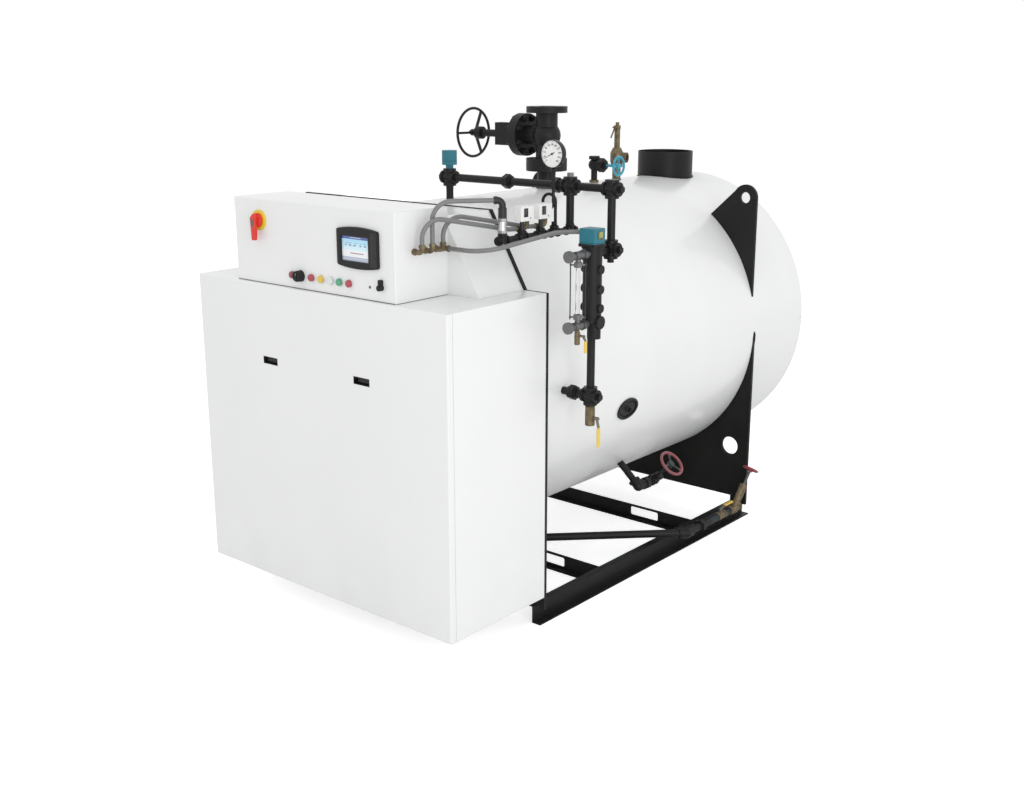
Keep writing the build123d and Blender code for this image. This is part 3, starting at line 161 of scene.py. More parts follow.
camera_data = bpy.data.cameras.new("camera")
camera_data.lens = 43.12
camera_data.sensor_width = 36
camera_data.clip_start = 0.05
camera_data.clip_end = 200
camera = bpy.data.objects.new("camera", camera_data)
camera.location = (3.786, -4.3695, 2.3415)
camera_lift, camera_turn = math.radians(75.1), math.radians(39.99)
camera.rotation_euler = (camera_lift, 0, camera_turn)
bpy.context.scene.collection.objects.link(camera)
bpy.context.scene.camera = camera
bpy.context.scene.view_settings.view_transform = "Standard"


# Skid, saddle plate, lifting lugs, front tube plate and flue stub. Rolled channel
# and flame-cut plate, welded, blasted and painted satin black: brush-out, scuffed
# ridges and a little grey dust in patches.
def finish(name, rough, metal=0, coat=0, coat_rough=0.1, shine=0.5):
    """New material: its wires, its shader and its coordinates in metres."""
    made = bpy.data.materials.new(name)
    made.use_nodes = True
    made.node_tree.nodes.clear()
    wires = Wire(made.node_tree)
    shader = wires.node("ShaderNodeBsdfPrincipled")
    wires.node("ShaderNodeOutputMaterial", {}, {"Surface": shader})
    sockets = shader.socket.node.inputs
    sockets["Roughness"].default_value = rough
    sockets["Metallic"].default_value = metal
    sockets["Specular IOR Level"].default_value = shine
    sockets["Coat Weight"].default_value = coat
    sockets["Coat Roughness"].default_value = coat_rough
    place = wires.node("ShaderNodeTexCoord", out=3)
    return made, sockets, place


def feed(socket, wire):
    """Links a wire to one of the shader's sockets."""
    wire.tree.links.new(wire.socket, socket)


def noise(place, scale, detail=2.0, rough=0.5, stretch=None):
    """Noise value at a place, with so many grains a metre."""
    at = place.vector("MULTIPLY", stretch) if stretch else place
    inputs = {"Vector": at, "Scale": scale, "Detail": detail, "Roughness": rough}
    return place.node("ShaderNodeTexNoise", {}, inputs)


def dress(sockets, hue, rough, height, edge=0.0015):
    """Gives a shader its colour, its roughness and a skin of this height in metres, and
    eases the piece's edges by a radius."""
    inputs = {"Height": height, "Distance": 1.0}
    if edge:
        inputs["Normal"] = height.node("ShaderNodeBevel", {"samples": 4}, {"Radius": edge})
    feed(sockets["Base Color"], hue)
    feed(sockets["Roughness"], rough)
    feed(sockets["Normal"], height.node("ShaderNodeBump", {}, inputs))


def part(place, axis):
    """One coordinate of a place."""
    return place.node("ShaderNodeSeparateXYZ", {}, {0: place}, out=axis)


def grey(tone):
    """A colour without any hue."""
    return (tone, tone, tone)


def paint(names, material):
    """Gives CAD nodes their finish."""
    for name in names:
        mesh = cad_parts[name].data
        mesh.materials.clear()
        mesh.materials.append(material)


def satin_black(name, tone, scuff):
    """Satin black paint on rolled steel, with its scuffs."""
    made, sockets, place = finish(name, 0.42, shine=0.22)
    cloud = noise(place, 6, 4)
    scratch = noise(place, 40, 4, 0.7, (1, 0.12, 1)).rise(0.62, 0.8) * scuff
    dust = noise(place, 3, 5).rise(0.4, 0.8)
    dark = cloud.mix(grey(tone * 0.8), grey(tone * 1.25))
    worn = scratch.mix(dark, (0.04, 0.04, 0.039))
    hue = (dust * 0.08).mix(worn, (0.1, 0.096, 0.09))
    height = noise(place, 300, 2) * 0.00012 + noise(place, 14, 3) * 0.0006
    dress(sockets, hue, 0.36 + cloud * 0.14 + dust * 0.08, height)
    return made


steel_black = satin_black("satin_black", 0.0095, 0.35)
steel_nodes = ["front_plate", "flue_outlet", "rear_saddle", "lifting_lugs"]
paint([*steel_nodes, "skid_rails", "cross_members"], steel_black)

axis_height = 1.028
shell_radius = 0.750
saddle_front = 1.195
saddle_back = 1.211


def surface(name, grids, material, body="boiler"):
    """Mesh of grids of points, copies x rows x columns x 3. Every cell is a face, the
    columns close into a ring, and a row that shrinks to a point closes as a pole."""
    grids = np.asarray(grids, float)
    if grids.ndim == 3:
        grids = grids[None]
    copies, rows, columns, _ = grids.shape
    index = np.arange(copies * rows * columns).reshape(copies, rows, columns)
    low, high = index[:, :-1], index[:, 1:]
    cells = [low, np.roll(low, -1, 2), np.roll(high, -1, 2), high]
    mesh = bpy.data.meshes.new(name)
    mesh.from_pydata(grids.reshape(-1, 3).tolist(), [], np.stack(cells, -1).reshape(-1, 4).tolist())
    shape = bmesh.new()
    shape.from_mesh(mesh)
    bmesh.ops.remove_doubles(shape, verts=shape.verts, dist=1e-6)
    bmesh.ops.recalc_face_normals(shape, faces=shape.faces)
    shape.to_mesh(mesh)
    shape.free()
    mesh.shade_smooth()
    mesh.set_sharp_from_angle(angle=math.radians(35))
    mesh.materials.append(material)
    piece = bpy.data.objects.new(name, mesh)
    bpy.context.scene.collection.objects.link(piece)
    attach(piece, body)
    return piece


def full_turn(count):
    """So many even steps of angle round a circle."""
    return np.linspace(0, 2 * np.pi, count, endpoint=False)


def saddle_bead(start, end, radius):
    """Bead between two turns round the shell: a circle of the bead's radius, swollen by
    a fine ripple, carried along the arc (R sin t, y, R cos t) on the shell."""
    turn = np.linspace(start, end, 300)[:, None]
    bend = full_turn(8)[None, :]
    swell = radius * (1 + 0.12 * np.sin(turn * 90))
    swell = swell * np.clip(np.minimum(turn - start, end - turn) * 200, 0, 1)
    reach = shell_radius + swell * np.cos(bend)
    side = swell * np.sin(bend)
    return np.stack([reach * np.sin(turn), side, axis_height + reach * np.cos(turn)], -1)


bead = saddle_bead(math.radians(90.5), math.radians(269.5), 0.0035)
beads = np.stack([bead + (0, saddle_front, 0), bead + (0, saddle_back, 0)])
surface("saddle_beads", beads, steel_black)


# Jacket and rear end of the shell. Rolled steel sheet over mineral wool, lapped,
# drawn tight and sprayed with white gloss enamel: a fine orange peel, a slow
# waviness of the sheet, soft painted reflection bands, and screws round the rear end's edge.
def white_enamel(name, tint, waviness_and_reflection, seams=None, edge=0.003):
    """White gloss enamel on sheet; the third argument is the height of the sheet's waviness and also
    sets how dark the painted reflection bands are.
    """
    made, sockets, place = finish(name, 0.3, coat=0.35, coat_rough=0.12)
    patches = noise(place, 2.3, 1).rise(0.2, 0.8)
    # Darker and rougher low down: soft patches that fade out from 0.1 m up to 0.75 m above the floor.
    low_patches = noise(place, 5, 1).rise(0.3, 0.9) * (1 - part(place, 2).rise(0.1, 0.75))
    # Painted reflection: soft darker bands, narrow along y, stand in for reflections of the
    # surroundings in the gloss enamel.
    painted_reflection_bands = noise(place, 1.6, 2, 0.5, (0.6, 2.6, 0.6)).rise(0.35, 0.7)
    pale = patches.mix(tint, [c * 0.985 for c in tint])
    # The painted reflection bands darken the enamel here.
    enamel_with_reflections = (painted_reflection_bands * waviness_and_reflection * 22).mix(pale, [c * 0.75 for c in tint])
    enamel = (low_patches * 0.3).mix(enamel_with_reflections, [c * 0.86 for c in tint])
    height = noise(place, 120, 1) * 0.00005 + noise(place, 1.7, 1) * waviness_and_reflection
    if seams:
        gap = seams(place)
        enamel = (gap * 0.45).mix(enamel, (0.2, 0.2, 0.2))
        height = height - gap * 0.0012
    dress(sockets, enamel, 0.285 + patches * 0.06 + low_patches * 0.15, height, edge)
    return made


def jacket_seam(place):
    """Lap of the jacket sheet along its lowest line."""
    return part(place, 0).near(0.06, 0.0008, 0.0006) * (part(place, 2) < axis_height)


def end_seam(place):
    """Joint of the rear end's two half discs."""
    return part(place, 2).near(axis_height, 0.0009, 0.0006)


white_tint = (0.84, 0.85, 0.845)
paint(["shell_jacket"], white_enamel("jacket_enamel", white_tint, 0.003, jacket_seam, 0))
paint(["rear_end"], white_enamel("end_enamel", white_tint, 0.002, end_seam, 0))


def lathe(profile, sides=32):
    """Profile of (radius, height) pairs carried once round the local z axis."""
    radius, height = np.asarray(profile, float).T
    turn = full_turn(sides)
    x = radius[:, None] * np.cos(turn)
    y = radius[:, None] * np.sin(turn)
    return np.stack([x, y, np.broadcast_to(height[:, None], x.shape)], -1)


def placed(grid, places, ways, first=(0, 0, 1)):
    """Copies of a grid: its z axis along each way, its x axis as near to first as can be."""
    places = np.atleast_2d(np.asarray(places, float))
    ways = np.broadcast_to(np.asarray(ways, float), places.shape)
    ways = ways / np.linalg.norm(ways, axis=1, keepdims=True)
    side = np.cross(np.broadcast_to(np.asarray(first, float), places.shape), ways)
    side = side / np.linalg.norm(side, axis=1, keepdims=True)
    axes = np.stack([np.cross(ways, side), -side, ways], 1)
    axes[:, 1] = np.cross(axes[:, 2], axes[:, 0])
    return np.einsum("rck,nkj->nrcj", grid, axes) + places[:, None, None, :]


def plated_steel(name, dark, bright):
    """Plated or galvanised steel between two greys, with a soft spangle."""
    made, sockets, place = finish(name, 0.36, metal=0.75)
    spangle = noise(place, 90, 3)
    hue = spangle.mix(grey(dark), grey(bright))
    dress(sockets, hue, 0.3 + spangle * 0.18, noise(place, 300, 2) * 0.0001)
    return made


plated = plated_steel("plated_steel", 0.26, 0.46)
end_face, screw_ring = 1.717, 0.705
turn = full_turn(24)
screws = np.stack([screw_ring * np.sin(turn), turn * 0, screw_ring * np.cos(turn)], -1)
screws = screws + (0, end_face, axis_height)
washer_head = [(0, 0), (0.0095, 0), (0.0095, 0.001), (0.0068, 0.0012)]
washer_head += [(0.0066, 0.0036), (0.005, 0.0046), (0, 0.005)]
screws = placed(lathe(washer_head, 20), screws, (0, 1, 0))
surface("rear_end_screws", screws, plated)


# Hand hole covers. Oval pressed plates seated from outside on a ring, each held by a
# cast yoke, a stud and a nut, all black.
def black_iron(name, tone, grain, rough):
    """Black enamel over cast iron; grain is the height of the casting's skin."""
    made, sockets, place = finish(name, rough, shine=0.26)
    cloud = noise(place, 22, 4)
    hue = cloud.mix(grey(tone * 0.75), grey(tone * 1.35))
    height = noise(place, 420, 3, 0.7) * grain + noise(place, 60, 2) * grain * 2
    dress(sockets, hue, rough - 0.06 + cloud * 0.16, height, 0.002)
    return made


cast_black = black_iron("black_cast_iron", 0.0115, 0.00022, 0.44)


def hex_nut(corner, height, stud, tip):
    """Nut with its stud end: the radius at turn t is the hexagon's, c cos30 / cos(t mod 60
    - 30), or the chamfer cone's where that is less, and the stud rises from its top."""
    turn = full_turn(24)
    flat = corner * math.cos(math.pi / 6) / np.cos(np.mod(turn, np.pi / 3) - np.pi / 6)
    cone = np.minimum(flat, corner * 0.92)
    rod = np.full_like(turn, stud)
    chamfer, top = corner * 0.08, height + tip
    radii = np.array([rod * 0, cone, flat, flat, cone, rod, rod, rod * 0.86, rod * 0])
    heights = [0, 0, chamfer, height - chamfer, height, height, top - 0.001, top, top]
    heights = np.broadcast_to(np.array(heights)[:, None], radii.shape)
    return np.stack([radii * np.cos(turn), radii * np.sin(turn), heights], -1)


handhole_y, handhole_turn = 0.092, math.radians(103.9)
handhole_long, handhole_short = 0.076, 0.052


def oval_cover(rows, side):
    """Oval on the shell: each row is a share of the oval, an inset and a height, and its
    points lie at turn t0 + s/R, where (s, y) runs round the smaller oval."""
    turn = full_turn(72)
    share, inset, up = np.array(rows).T[:, :, None]
    along = (handhole_long * share - inset) * np.sin(turn)
    across = (handhole_short * share - inset) * np.cos(turn)
    lean = handhole_turn + across / shell_radius
    reach = shell_radius + up
    x, z = side * reach * np.sin(lean), axis_height + reach * np.cos(lean)
    return np.stack([x, handhole_y + along, z], -1)


cover_rows = [(1, 0, -0.004), (1, 0, 0.0075), (1, 0.0012, 0.009), (1, 0.0105, 0.009)]
cover_rows += [(1, 0.012, 0.0078), (1, 0.013, 0.0012), (1, 0.017, 0.0008), (1, 0.020, 0.0042)]
cover_rows += [(0.5, 0.010, 0.0058), (0, 0, 0.0062)]
covers = np.stack([oval_cover(cover_rows, 1), oval_cover(cover_rows, -1)])
covers = surface("handhole_plates", covers, cast_black)
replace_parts(covers, "handhole_covers")
turns = np.array([handhole_turn, -handhole_turn])
ways = np.stack([np.sin(turns), turns * 0, np.cos(turns)], -1)
dish_depth, bridge_height = 0.0055, 0.008
places = ways * (shell_radius + dish_depth) + (0, handhole_y, axis_height)
bridge = [(0, 0), (0.0165, 0), (0.0165, 0.002), (0.013, 0.0065), (0.0095, bridge_height)]
bridge += [(0, bridge_height)]
surface("handhole_bridges", placed(lathe(bridge, 40), places, ways), cast_black)
cover_nuts = placed(hex_nut(0.0125, 0.0095, 0.0062, 0.004), places + ways * 0.0078, ways)
surface("handhole_nuts", cover_nuts, cast_black)


# Burner cabinet, hood and control box. Folded sheet steel with welded corners, all in
# the shell's white enamel. The box stands on a thin black strip, and two recessed
# black pulls lift the cabinet's front off.
def cabinet_seam(place):
    """Joint between the cabinet's front and its sides, just behind the front's edge."""
    return part(place, 1).near(-1.0935, 0.0006, 0.0004) * (part(place, 2) < 1.4665)


sheet_white = white_enamel("sheet_enamel", white_tint, 0.001)
paint(["burner_hood", "control_box"], sheet_white)
paint(["burner_cabinet"], white_enamel("cabinet_enamel", white_tint, 0.001, cabinet_seam))


def moulded(name, colour, rough, grain=0.00008, coat=0.0):
    """Moulded plastic or sprayed enamel in one colour, with a fine grain."""
    made, sockets, place = finish(name, rough, coat=coat, shine=0.3 if max(colour) < 0.1 else 0.5)
    cloud = noise(place, 30, 3)
    low, high = [c * 0.88 for c in colour], [c * 1.1 for c in colour]
    hue = cloud.mix(low, high)
    dress(sockets, hue, rough - 0.05 + cloud * 0.1, noise(place, 500, 2) * grain, 0.001)
    return made


def rounded(corners, radius, steps=7):
    """Closed outline: at each corner an arc of the radius that touches both its sides."""
    here = np.asarray(corners, float)
    before = np.roll(here, 1, 0) - here
    after = np.roll(here, -1, 0) - here
    before /= np.linalg.norm(before, axis=1, keepdims=True)
    after /= np.linalg.norm(after, axis=1, keepdims=True)
    half = np.arccos(np.sum(before * after, 1)) / 2
    middle = before + after
    middle /= np.linalg.norm(middle, axis=1, keepdims=True)
    centre = here + middle * (radius / np.sin(half))[:, None]
    start = here + before * (radius / np.tan(half))[:, None] - centre
    turn = np.linspace(0, 1, steps)[None, :] * (np.pi - 2 * half)[:, None]
    x = start[:, :1] * np.cos(turn) - start[:, 1:] * np.sin(turn)
    y = start[:, :1] * np.sin(turn) + start[:, 1:] * np.cos(turn)
    return np.stack([x + centre[:, :1], y + centre[:, 1:]], -1).reshape(-1, 2)


def oblong(wide, tall, radius, steps=7):
    """Outline of a rectangle with rounded corners about the origin."""
    x, y = wide / 2, tall / 2
    return rounded([(x, -y), (x, y), (-x, y), (-x, -y)], radius, steps)


def outward(outline):
    """Unit normals of a closed outline that runs anticlockwise."""
    run = np.roll(outline, -1, 0) - np.roll(outline, 1, 0)
    side = np.stack([run[:, 1], -run[:, 0]], -1)
    return side / np.linalg.norm(side, axis=1, keepdims=True)


def pad(outline, thick, edge):
    """Pad of an outline's shape: up its side, over a rounded edge, in to its middle."""
    arc = np.linspace(0, np.pi / 2, 5)
    inset = np.concatenate([[0], edge * (1 - np.cos(arc))])
    lift = np.concatenate([[0], thick - edge + edge * np.sin(arc)])
    ring = outline[None] - outward(outline)[None] * inset[:, None, None]
    rows = np.concatenate([ring, np.broadcast_to(lift[:, None, None], (*ring.shape[:2], 1))], -1)
    middle = np.append(outline.mean(0), 0)
    foot = np.broadcast_to(middle, (1, len(outline), 3))
    return np.concatenate([foot, rows, foot + (0, 0, thick)])


box_left, box_right = -0.498, 0.464
box_front, box_back = -1.102, -0.807
cabinet_top = 1.467
strip_line = oblong(box_right - box_left, box_back - box_front, 0.006)
strip_line += ((box_left + box_right) / 2, (box_front + box_back) / 2)
strip_side = outward(strip_line)
strip_profile = [(-0.0015, 0), (0.0004, 0), (0.0009, 0.0009)]
strip_profile += [(0.0004, 0.0019), (-0.0015, 0.0019), (-0.0015, 0)]


def ring_at(outline, level):
    """An outline's points, all at one level."""
    return np.column_stack([outline, np.full(len(outline), level)])


# A thin black strip runs round the foot of the control box.
strip_rows = [ring_at(strip_line + strip_side * out, cabinet_top + up) for out, up in strip_profile]
foot_strip_finish = moulded("foot_strip_black", grey(0.018), 0.6)
surface("box_strip", np.stack(strip_rows), foot_strip_finish)

face_way = (0, -1, 0)


def facing(grid, places):
    """Copies of a grid that face the front, their x axis to the right."""
    return placed(grid, places, face_way, (1, 0, 0))


black_moulding = moulded("black_moulding", (0.012, 0.012, 0.0125), 0.42)
paint(["cabinet_pulls"], black_moulding)
pull_x, pull_level, pull_floor = 0.281, 1.138, -1.104
paddle = pad(oblong(0.070, 0.020, 0.004), 0.009, 0.003)
pull_places = [(-pull_x, pull_floor, pull_level), (pull_x, pull_floor, pull_level)]
latch_grey = moulded("latch_grey", (0.028, 0.028, 0.029), 0.4)
surface("pull_latches", facing(paddle, pull_places), latch_grey)


# Touch screen in the face of the control box. A black moulded surround, arched at its
# top and bottom, holds a recessed display; a strip with two screws covers its right
# side. The display shows a plain page of coloured fields without any words.
surround_x, surround_level = 0.2670, 1.6675
surround_wide, surround_tall, surround_arch = 0.230, 0.143, 0.0105
screen_x, screen_level = 0.2545, 1.6635
window_wide, window_tall = 0.153, 0.098


def evenly(outline, count):
    """The same outline with its points at equal steps of its length."""
    closed = np.vstack([outline, outline[:1]])
    run = np.concatenate([[0], np.cumsum(np.linalg.norm(np.diff(closed, axis=0), axis=1))])
    step = np.linspace(0, run[-1], count, endpoint=False)
    return np.stack([np.interp(step, run, closed[:, 0]), np.interp(step, run, closed[:, 1])], -1)


points_round = 400
outer = evenly(oblong(surround_wide, surround_tall, 0.008), points_round)
bow = 1 - (outer[:, 0] / (surround_wide / 2)) ** 2
outer[:, 1] *= 1 + surround_arch / (surround_tall / 2) * bow
inner = evenly(oblong(window_wide, window_tall, 0.0015), points_round)
inner += (screen_x - surround_x, screen_level - surround_level)
lip, gate = outward(outer), outward(inner)
levels = [(outer, 0), (outer, 0.0108), (outer - lip * 0.0009, 0.0128), (outer - lip * 0.003, 0.014)]
levels += [(inner + gate * 0.002, 0.014), (inner + gate * 0.0005, 0.0135)]
levels += [(inner, 0.0125), (inner, 0.004)]
surround = np.stack([ring_at(ring, up) for ring, up in levels])
surround = facing(surround, (surround_x, box_front, surround_level))
piece = surface("screen_surround", surround, black_moulding)
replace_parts(piece, "screen_bezel")
strip = pad(oblong(0.033, 0.134, 0.003), 0.0014, 0.0006)
centre = (0.3625, box_front - 0.0138, surround_level)
surface("screen_strip", facing(strip, centre), latch_grey)
small_screw = [(0, 0), (0.0036, 0), (0.0036, 0.0008), (0.003, 0.0013), (0.0014, 0.0015), (0, 0.0009)]
small_screw = lathe(small_screw, 16)
places = [(0.371, box_front - 0.0151, level) for level in (1.726, 1.638)]
surface("screen_screws", facing(small_screw, places), black_moulding)

display = pad(oblong(window_wide + 0.004, window_tall + 0.004, 0.001), 0.0065, 0.0005)
made, sockets, place = finish("screen_page", 0.16, coat=0.5, coat_rough=0.05)
across = (part(place, 0) - (screen_x - window_wide / 2)) / window_wide
up = (part(place, 2) - (screen_level - window_tall / 2)) / window_tall
sky_field = up.rise(0.45, 0.9).mix((0.62, 0.79, 0.86), (0.36, 0.66, 0.86))
page = (up > 0.44).mix((0.78, 0.80, 0.83), sky_field)
page = (up > 0.88).mix(page, (0.085, 0.12, 0.34))
page = (up < 0.17).mix(page, (0.40, 0.44, 0.55))
marks = (across * 9).maths("FRACT").between(0.3, 0.72) * across.between(0.11, 0.9)
field_marks = marks * (up.between(0.60, 0.67) + up.between(0.71, 0.735)) * (noise(place, 55, 0) > 0.47)
page = (field_marks * 0.7).mix(page, (0.10, 0.17, 0.22))
low_marks = marks * up.between(0.30, 0.345) * across.between(0.3, 0.8)
page = (low_marks * 0.8).mix(page, (0.30, 0.10, 0.14))
title_marks = (across * 24).maths("FRACT").between(0.2, 0.75)
title_marks = title_marks * up.between(0.925, 0.955) * across.between(0.3, 0.7)
page = (title_marks * 0.7).mix(page, (0.7, 0.74, 0.85))
keys = (across * 5).maths("FRACT").between(0.08, 0.92) * up.between(0.035, 0.135)
page = (keys * 0.5).mix(page, (0.58, 0.61, 0.68))
feed(sockets["Base Color"], page)
feed(sockets["Emission Color"], page)
sockets["Emission Strength"].default_value = 0.12
feed(sockets["Roughness"], 0.14 + noise(place, 30) * 0.06)
display = facing(display, (screen_x, box_front - 0.0005, screen_level))
piece = surface("screen_display", display, made)
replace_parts(piece, "screen")


# Disconnect. A red moulded handle, tapered and hanging down, turns on a red boss in
# front of a yellow plate; a metal tongue in its head takes a padlock.
plate_yellow = moulded("plate_yellow", (0.80, 0.59, 0.035), 0.36, coat=0.2)
paint(["disconnect_plate"], plate_yellow)
handle_red = moulded("handle_red", (0.74, 0.03, 0.016), 0.34, coat=0.25)
disconnect_x, disconnect_level, plate_front = -0.333, 1.732, -1.1103
boss = [(0, 0), (0.0295, 0), (0.0295, 0.009), (0.028, 0.0105), (0.0235, 0.011), (0.023, 0.0145)]
boss += [(0, 0.0145)]
boss = facing(lathe(boss, 48), (disconnect_x, plate_front, disconnect_level))
boss = surface("handle_boss", boss, handle_red, "disconnect")
handle_corners = [(0.0130, 0.017), (-0.001, 0.0305), (-0.0215, 0.011)]
handle_corners += [(-0.0155, -0.083), (0.0035, -0.083)]
grip = pad(rounded(handle_corners, 0.003), 0.0162, 0.0035)
grip = facing(grip, (disconnect_x, plate_front - 0.0125, disconnect_level))
grip = surface("handle_grip", grip, handle_red, "disconnect")
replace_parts(boss, "disconnect_handle")
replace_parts(grip, "disconnect_handle")
tongue = pad(oblong(0.0155, 0.030, 0.002), 0.0015, 0.0006)
centre = (disconnect_x - 0.006, plate_front - 0.0284, disconnect_level - 0.009)
olive = plated_steel("tongue_steel", 0.13, 0.2)
surface("handle_tongue", facing(tongue, centre), olive, "disconnect")


# Row under the screen: six pilot lights with domed lenses in thin grey rings, a small
# screw and a black toggle. The lenses are tinted polycarbonate, unlit.
row_level = 1.522
lights = {
    "dark_red": ((0.27, 0.035, 0.05), [-0.133]),
    "red": ((0.42, 0.045, 0.07), [-0.015, 0.208]),
    "yellow": ((0.74, 0.50, 0.075), [0.042]),
    "white": ((0.72, 0.74, 0.75), [0.099]),
    "green": ((0.08, 0.36, 0.20), [0.152]),
}
lens_profile = [(0, 0), (0.0150, 0), (0.0150, 0.0112), (0.0146, 0.0128), (0.0132, 0.0142)]
lens_profile += [(0.0105, 0.0151), (0.006, 0.0158), (0, 0.016)]
all_lights = []
for colour, (tint, spots) in lights.items():
    made, sockets, place = finish("lens_" + colour, 0.2, coat=0.6, coat_rough=0.06)
    rings = noise(place, 120, 1)
    pale = [min(c * 1.15, 0.9) for c in tint]
    hue = rings.mix([c * 0.85 for c in tint], pale)
    dress(sockets, hue, 0.14 + rings * 0.1, noise(place, 200, 1) * 0.00005, 0.001)
    sockets["Subsurface Weight"].default_value = 0.12
    sockets["Subsurface Radius"].default_value = (0.004, 0.003, 0.003)
    places = [(x, box_front, row_level) for x in spots]
    lens = surface("lens_" + colour, facing(lathe(lens_profile, 40), places), made)
    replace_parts(lens, "pilot_lights")
    all_lights += places
ring_profile = [(0.0145, 0), (0.0172, 0), (0.0172, 0.0010), (0.0166, 0.0020)]
ring_profile += [(0.0156, 0.0023), (0.0145, 0.0023), (0.0145, 0)]
ring_grey = moulded("ring_grey", (0.60, 0.61, 0.61), 0.4)
rings = surface("light_rings", facing(lathe(ring_profile, 40), all_lights), ring_grey)
screw_head = [(0, 0), (0.0058, 0), (0.0058, 0.0012), (0.0048, 0.0026), (0.0018, 0.0031), (0, 0.002)]
screw = facing(lathe(screw_head, 20), (0.323, box_front, row_level - 0.002))
surface("row_screw", screw, olive)
toggle_x, toggle_level = 0.389, 1.5245
cap = [(0, 0), (0.0118, 0), (0.0118, 0.016), (0.0112, 0.0205), (0.009, 0.022), (0, 0.022)]
cap = facing(lathe(cap, 40), (toggle_x, box_front, toggle_level))
cap = surface("toggle_cap", cap, black_moulding)
guard = pad(oblong(0.0168, 0.032, 0.002), 0.0150, 0.0015)
guard = facing(guard, (toggle_x, box_front, toggle_level + 0.0155))
guard = surface("toggle_guard", guard, black_moulding)
for piece in (rings, cap, guard):
    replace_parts(piece, "pilot_lights")


# Selector. A large black knob, fluted round its side, with a raised grip bar and a
# moulded pointer line; it turns to either side.
knob_x, knob_back = -0.085, -1.1023
turn = full_turn(96)
fluted, plain = 1 - 0.022 * (1 + np.cos(16 * turn)), np.ones_like(turn)
knob = [(0, 0, plain), (0.0240, 0, plain), (0.0240, 0.004, plain), (0.0235, 0.006, fluted)]
knob += [(0.0226, 0.0255, fluted), (0.0212, 0.0288, fluted), (0.0185, 0.0294, plain)]
knob += [(0.016, 0.0272, plain), (0, 0.0272, plain)]
knob = [[r * edge * np.cos(turn), r * edge * np.sin(turn), plain * up] for r, up, edge in knob]
knob = facing(np.moveaxis(np.array(knob), 1, -1), (knob_x, knob_back, row_level))
cap = surface("selector_cap", knob, black_moulding, "selector")
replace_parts(cap, "selector_knob")
bar = pad(oblong(0.0075, 0.034, 0.0025), 0.0058, 0.0018)
centre = (knob_x, knob_back - 0.0242, row_level)
surface("selector_bar", facing(bar, centre), black_moulding, "selector")
line = pad(oblong(0.0012, 0.011, 0.0004), 0.0003, 0.0001)
centre = (knob_x, knob_back - 0.0299, row_level + 0.0095)
pointer_white = moulded("pointer_white", (0.7, 0.7, 0.68), 0.5)
surface("selector_line", facing(line, centre), pointer_white, "selector")


# Steam outlet: nozzle welded through the jacket, and the main steam valve bolted on
# it. Flanges, body and bonnet are castings; eight studs with nuts hold each joint.
paint(["steam_nozzle", "steam_valve", "steam_valve_yoke", "steam_handwheel"], cast_black)
steam_y, flue_y = 0.407, 1.465


def pipe_bead(y, reach, radius, ripples):
    """Weld bead where an upright pipe meets the shell: a small circle carried round the
    curve (R cos t, y + R sin t, height of the shell there), swollen by its ripples."""
    turn = full_turn(240)[None, :]
    bend = np.linspace(0, 2 * np.pi, 9)[:, None]
    swell = radius * (1 + 0.13 * np.sin(turn * ripples))
    out = reach + swell * np.cos(bend)
    foot = axis_height + np.sqrt(shell_radius**2 - (reach * np.cos(turn)) ** 2)
    return np.stack([out * np.cos(turn), y + out * np.sin(turn), foot + swell * np.sin(bend)], -1)


surface("nozzle_weld", pipe_bead(steam_y, 0.046, 0.0055, 60), cast_black)
surface("flue_weld", pipe_bead(flue_y, 0.151, 0.005, 150), steel_black)
stem_level, bolt_circle, joint_face, joint_thick = 2.030, 0.0835, -0.118, 0.050
turn = (np.arange(8) + 0.5) * np.pi / 4
right_nuts = [turn * 0 + joint_face, steam_y + bolt_circle * np.cos(turn)]
right_nuts = np.stack([*right_nuts, stem_level + bolt_circle * np.sin(turn)], -1)
left_nuts = right_nuts - (joint_thick, 0, 0)
nut = hex_nut(0.0155, 0.0145, 0.0088, 0.007)
nuts = np.concatenate([placed(nut, right_nuts, (1, 0, 0)), placed(nut, left_nuts, (-1, 0, 0))])
surface("bonnet_nuts", nuts, cast_black)
wheel_nut = hex_nut(0.0165, 0.012, 0.0098, 0.004)
wheel_nut = placed(wheel_nut, (-0.4793, steam_y, stem_level), (-1, 0, 0))
surface("steam_wheel_nut", wheel_nut, cast_black, "main_steam_wheel")


# Steam header, risers, limit manifold and siphon. Drawn steel pipe screwed into
# malleable iron crosses, tees and unions, the whole run under one coat of black.
pipe_black = black_iron("black_pipe", 0.0105, 0.0001, 0.38)
paint(["column_riser", "column_pipe", "limit_manifold", "gauge_siphon"], pipe_black)
made, sockets, place = finish("header_finish", 0.38, shine=0.26)
cloud = noise(place, 22, 4)
plug = part(place, 2).rise(1.9128, 1.9134)
black = cloud.mix(grey(0.008), grey(0.014))
hue = plug.mix(black, cloud.mix(grey(0.16), grey(0.30)))
height = noise(place, 420, 3, 0.7) * 0.0001 + noise(place, 60, 2) * 0.0002
dress(sockets, hue, 0.32 + cloud * 0.16, height, 0.002)
feed(sockets["Metallic"], plug * 0.7)
paint(["steam_header"], made)


def upright(grid, places):
    """Copies of a grid that stand up, their x axis to the right."""
    return placed(grid, places, (0, 0, 1), (1, 0, 0))


tee_x, manifold_level = 0.679, 1.693
end_valve_y, siphon_y, header_y = -0.723, -0.396, -0.290
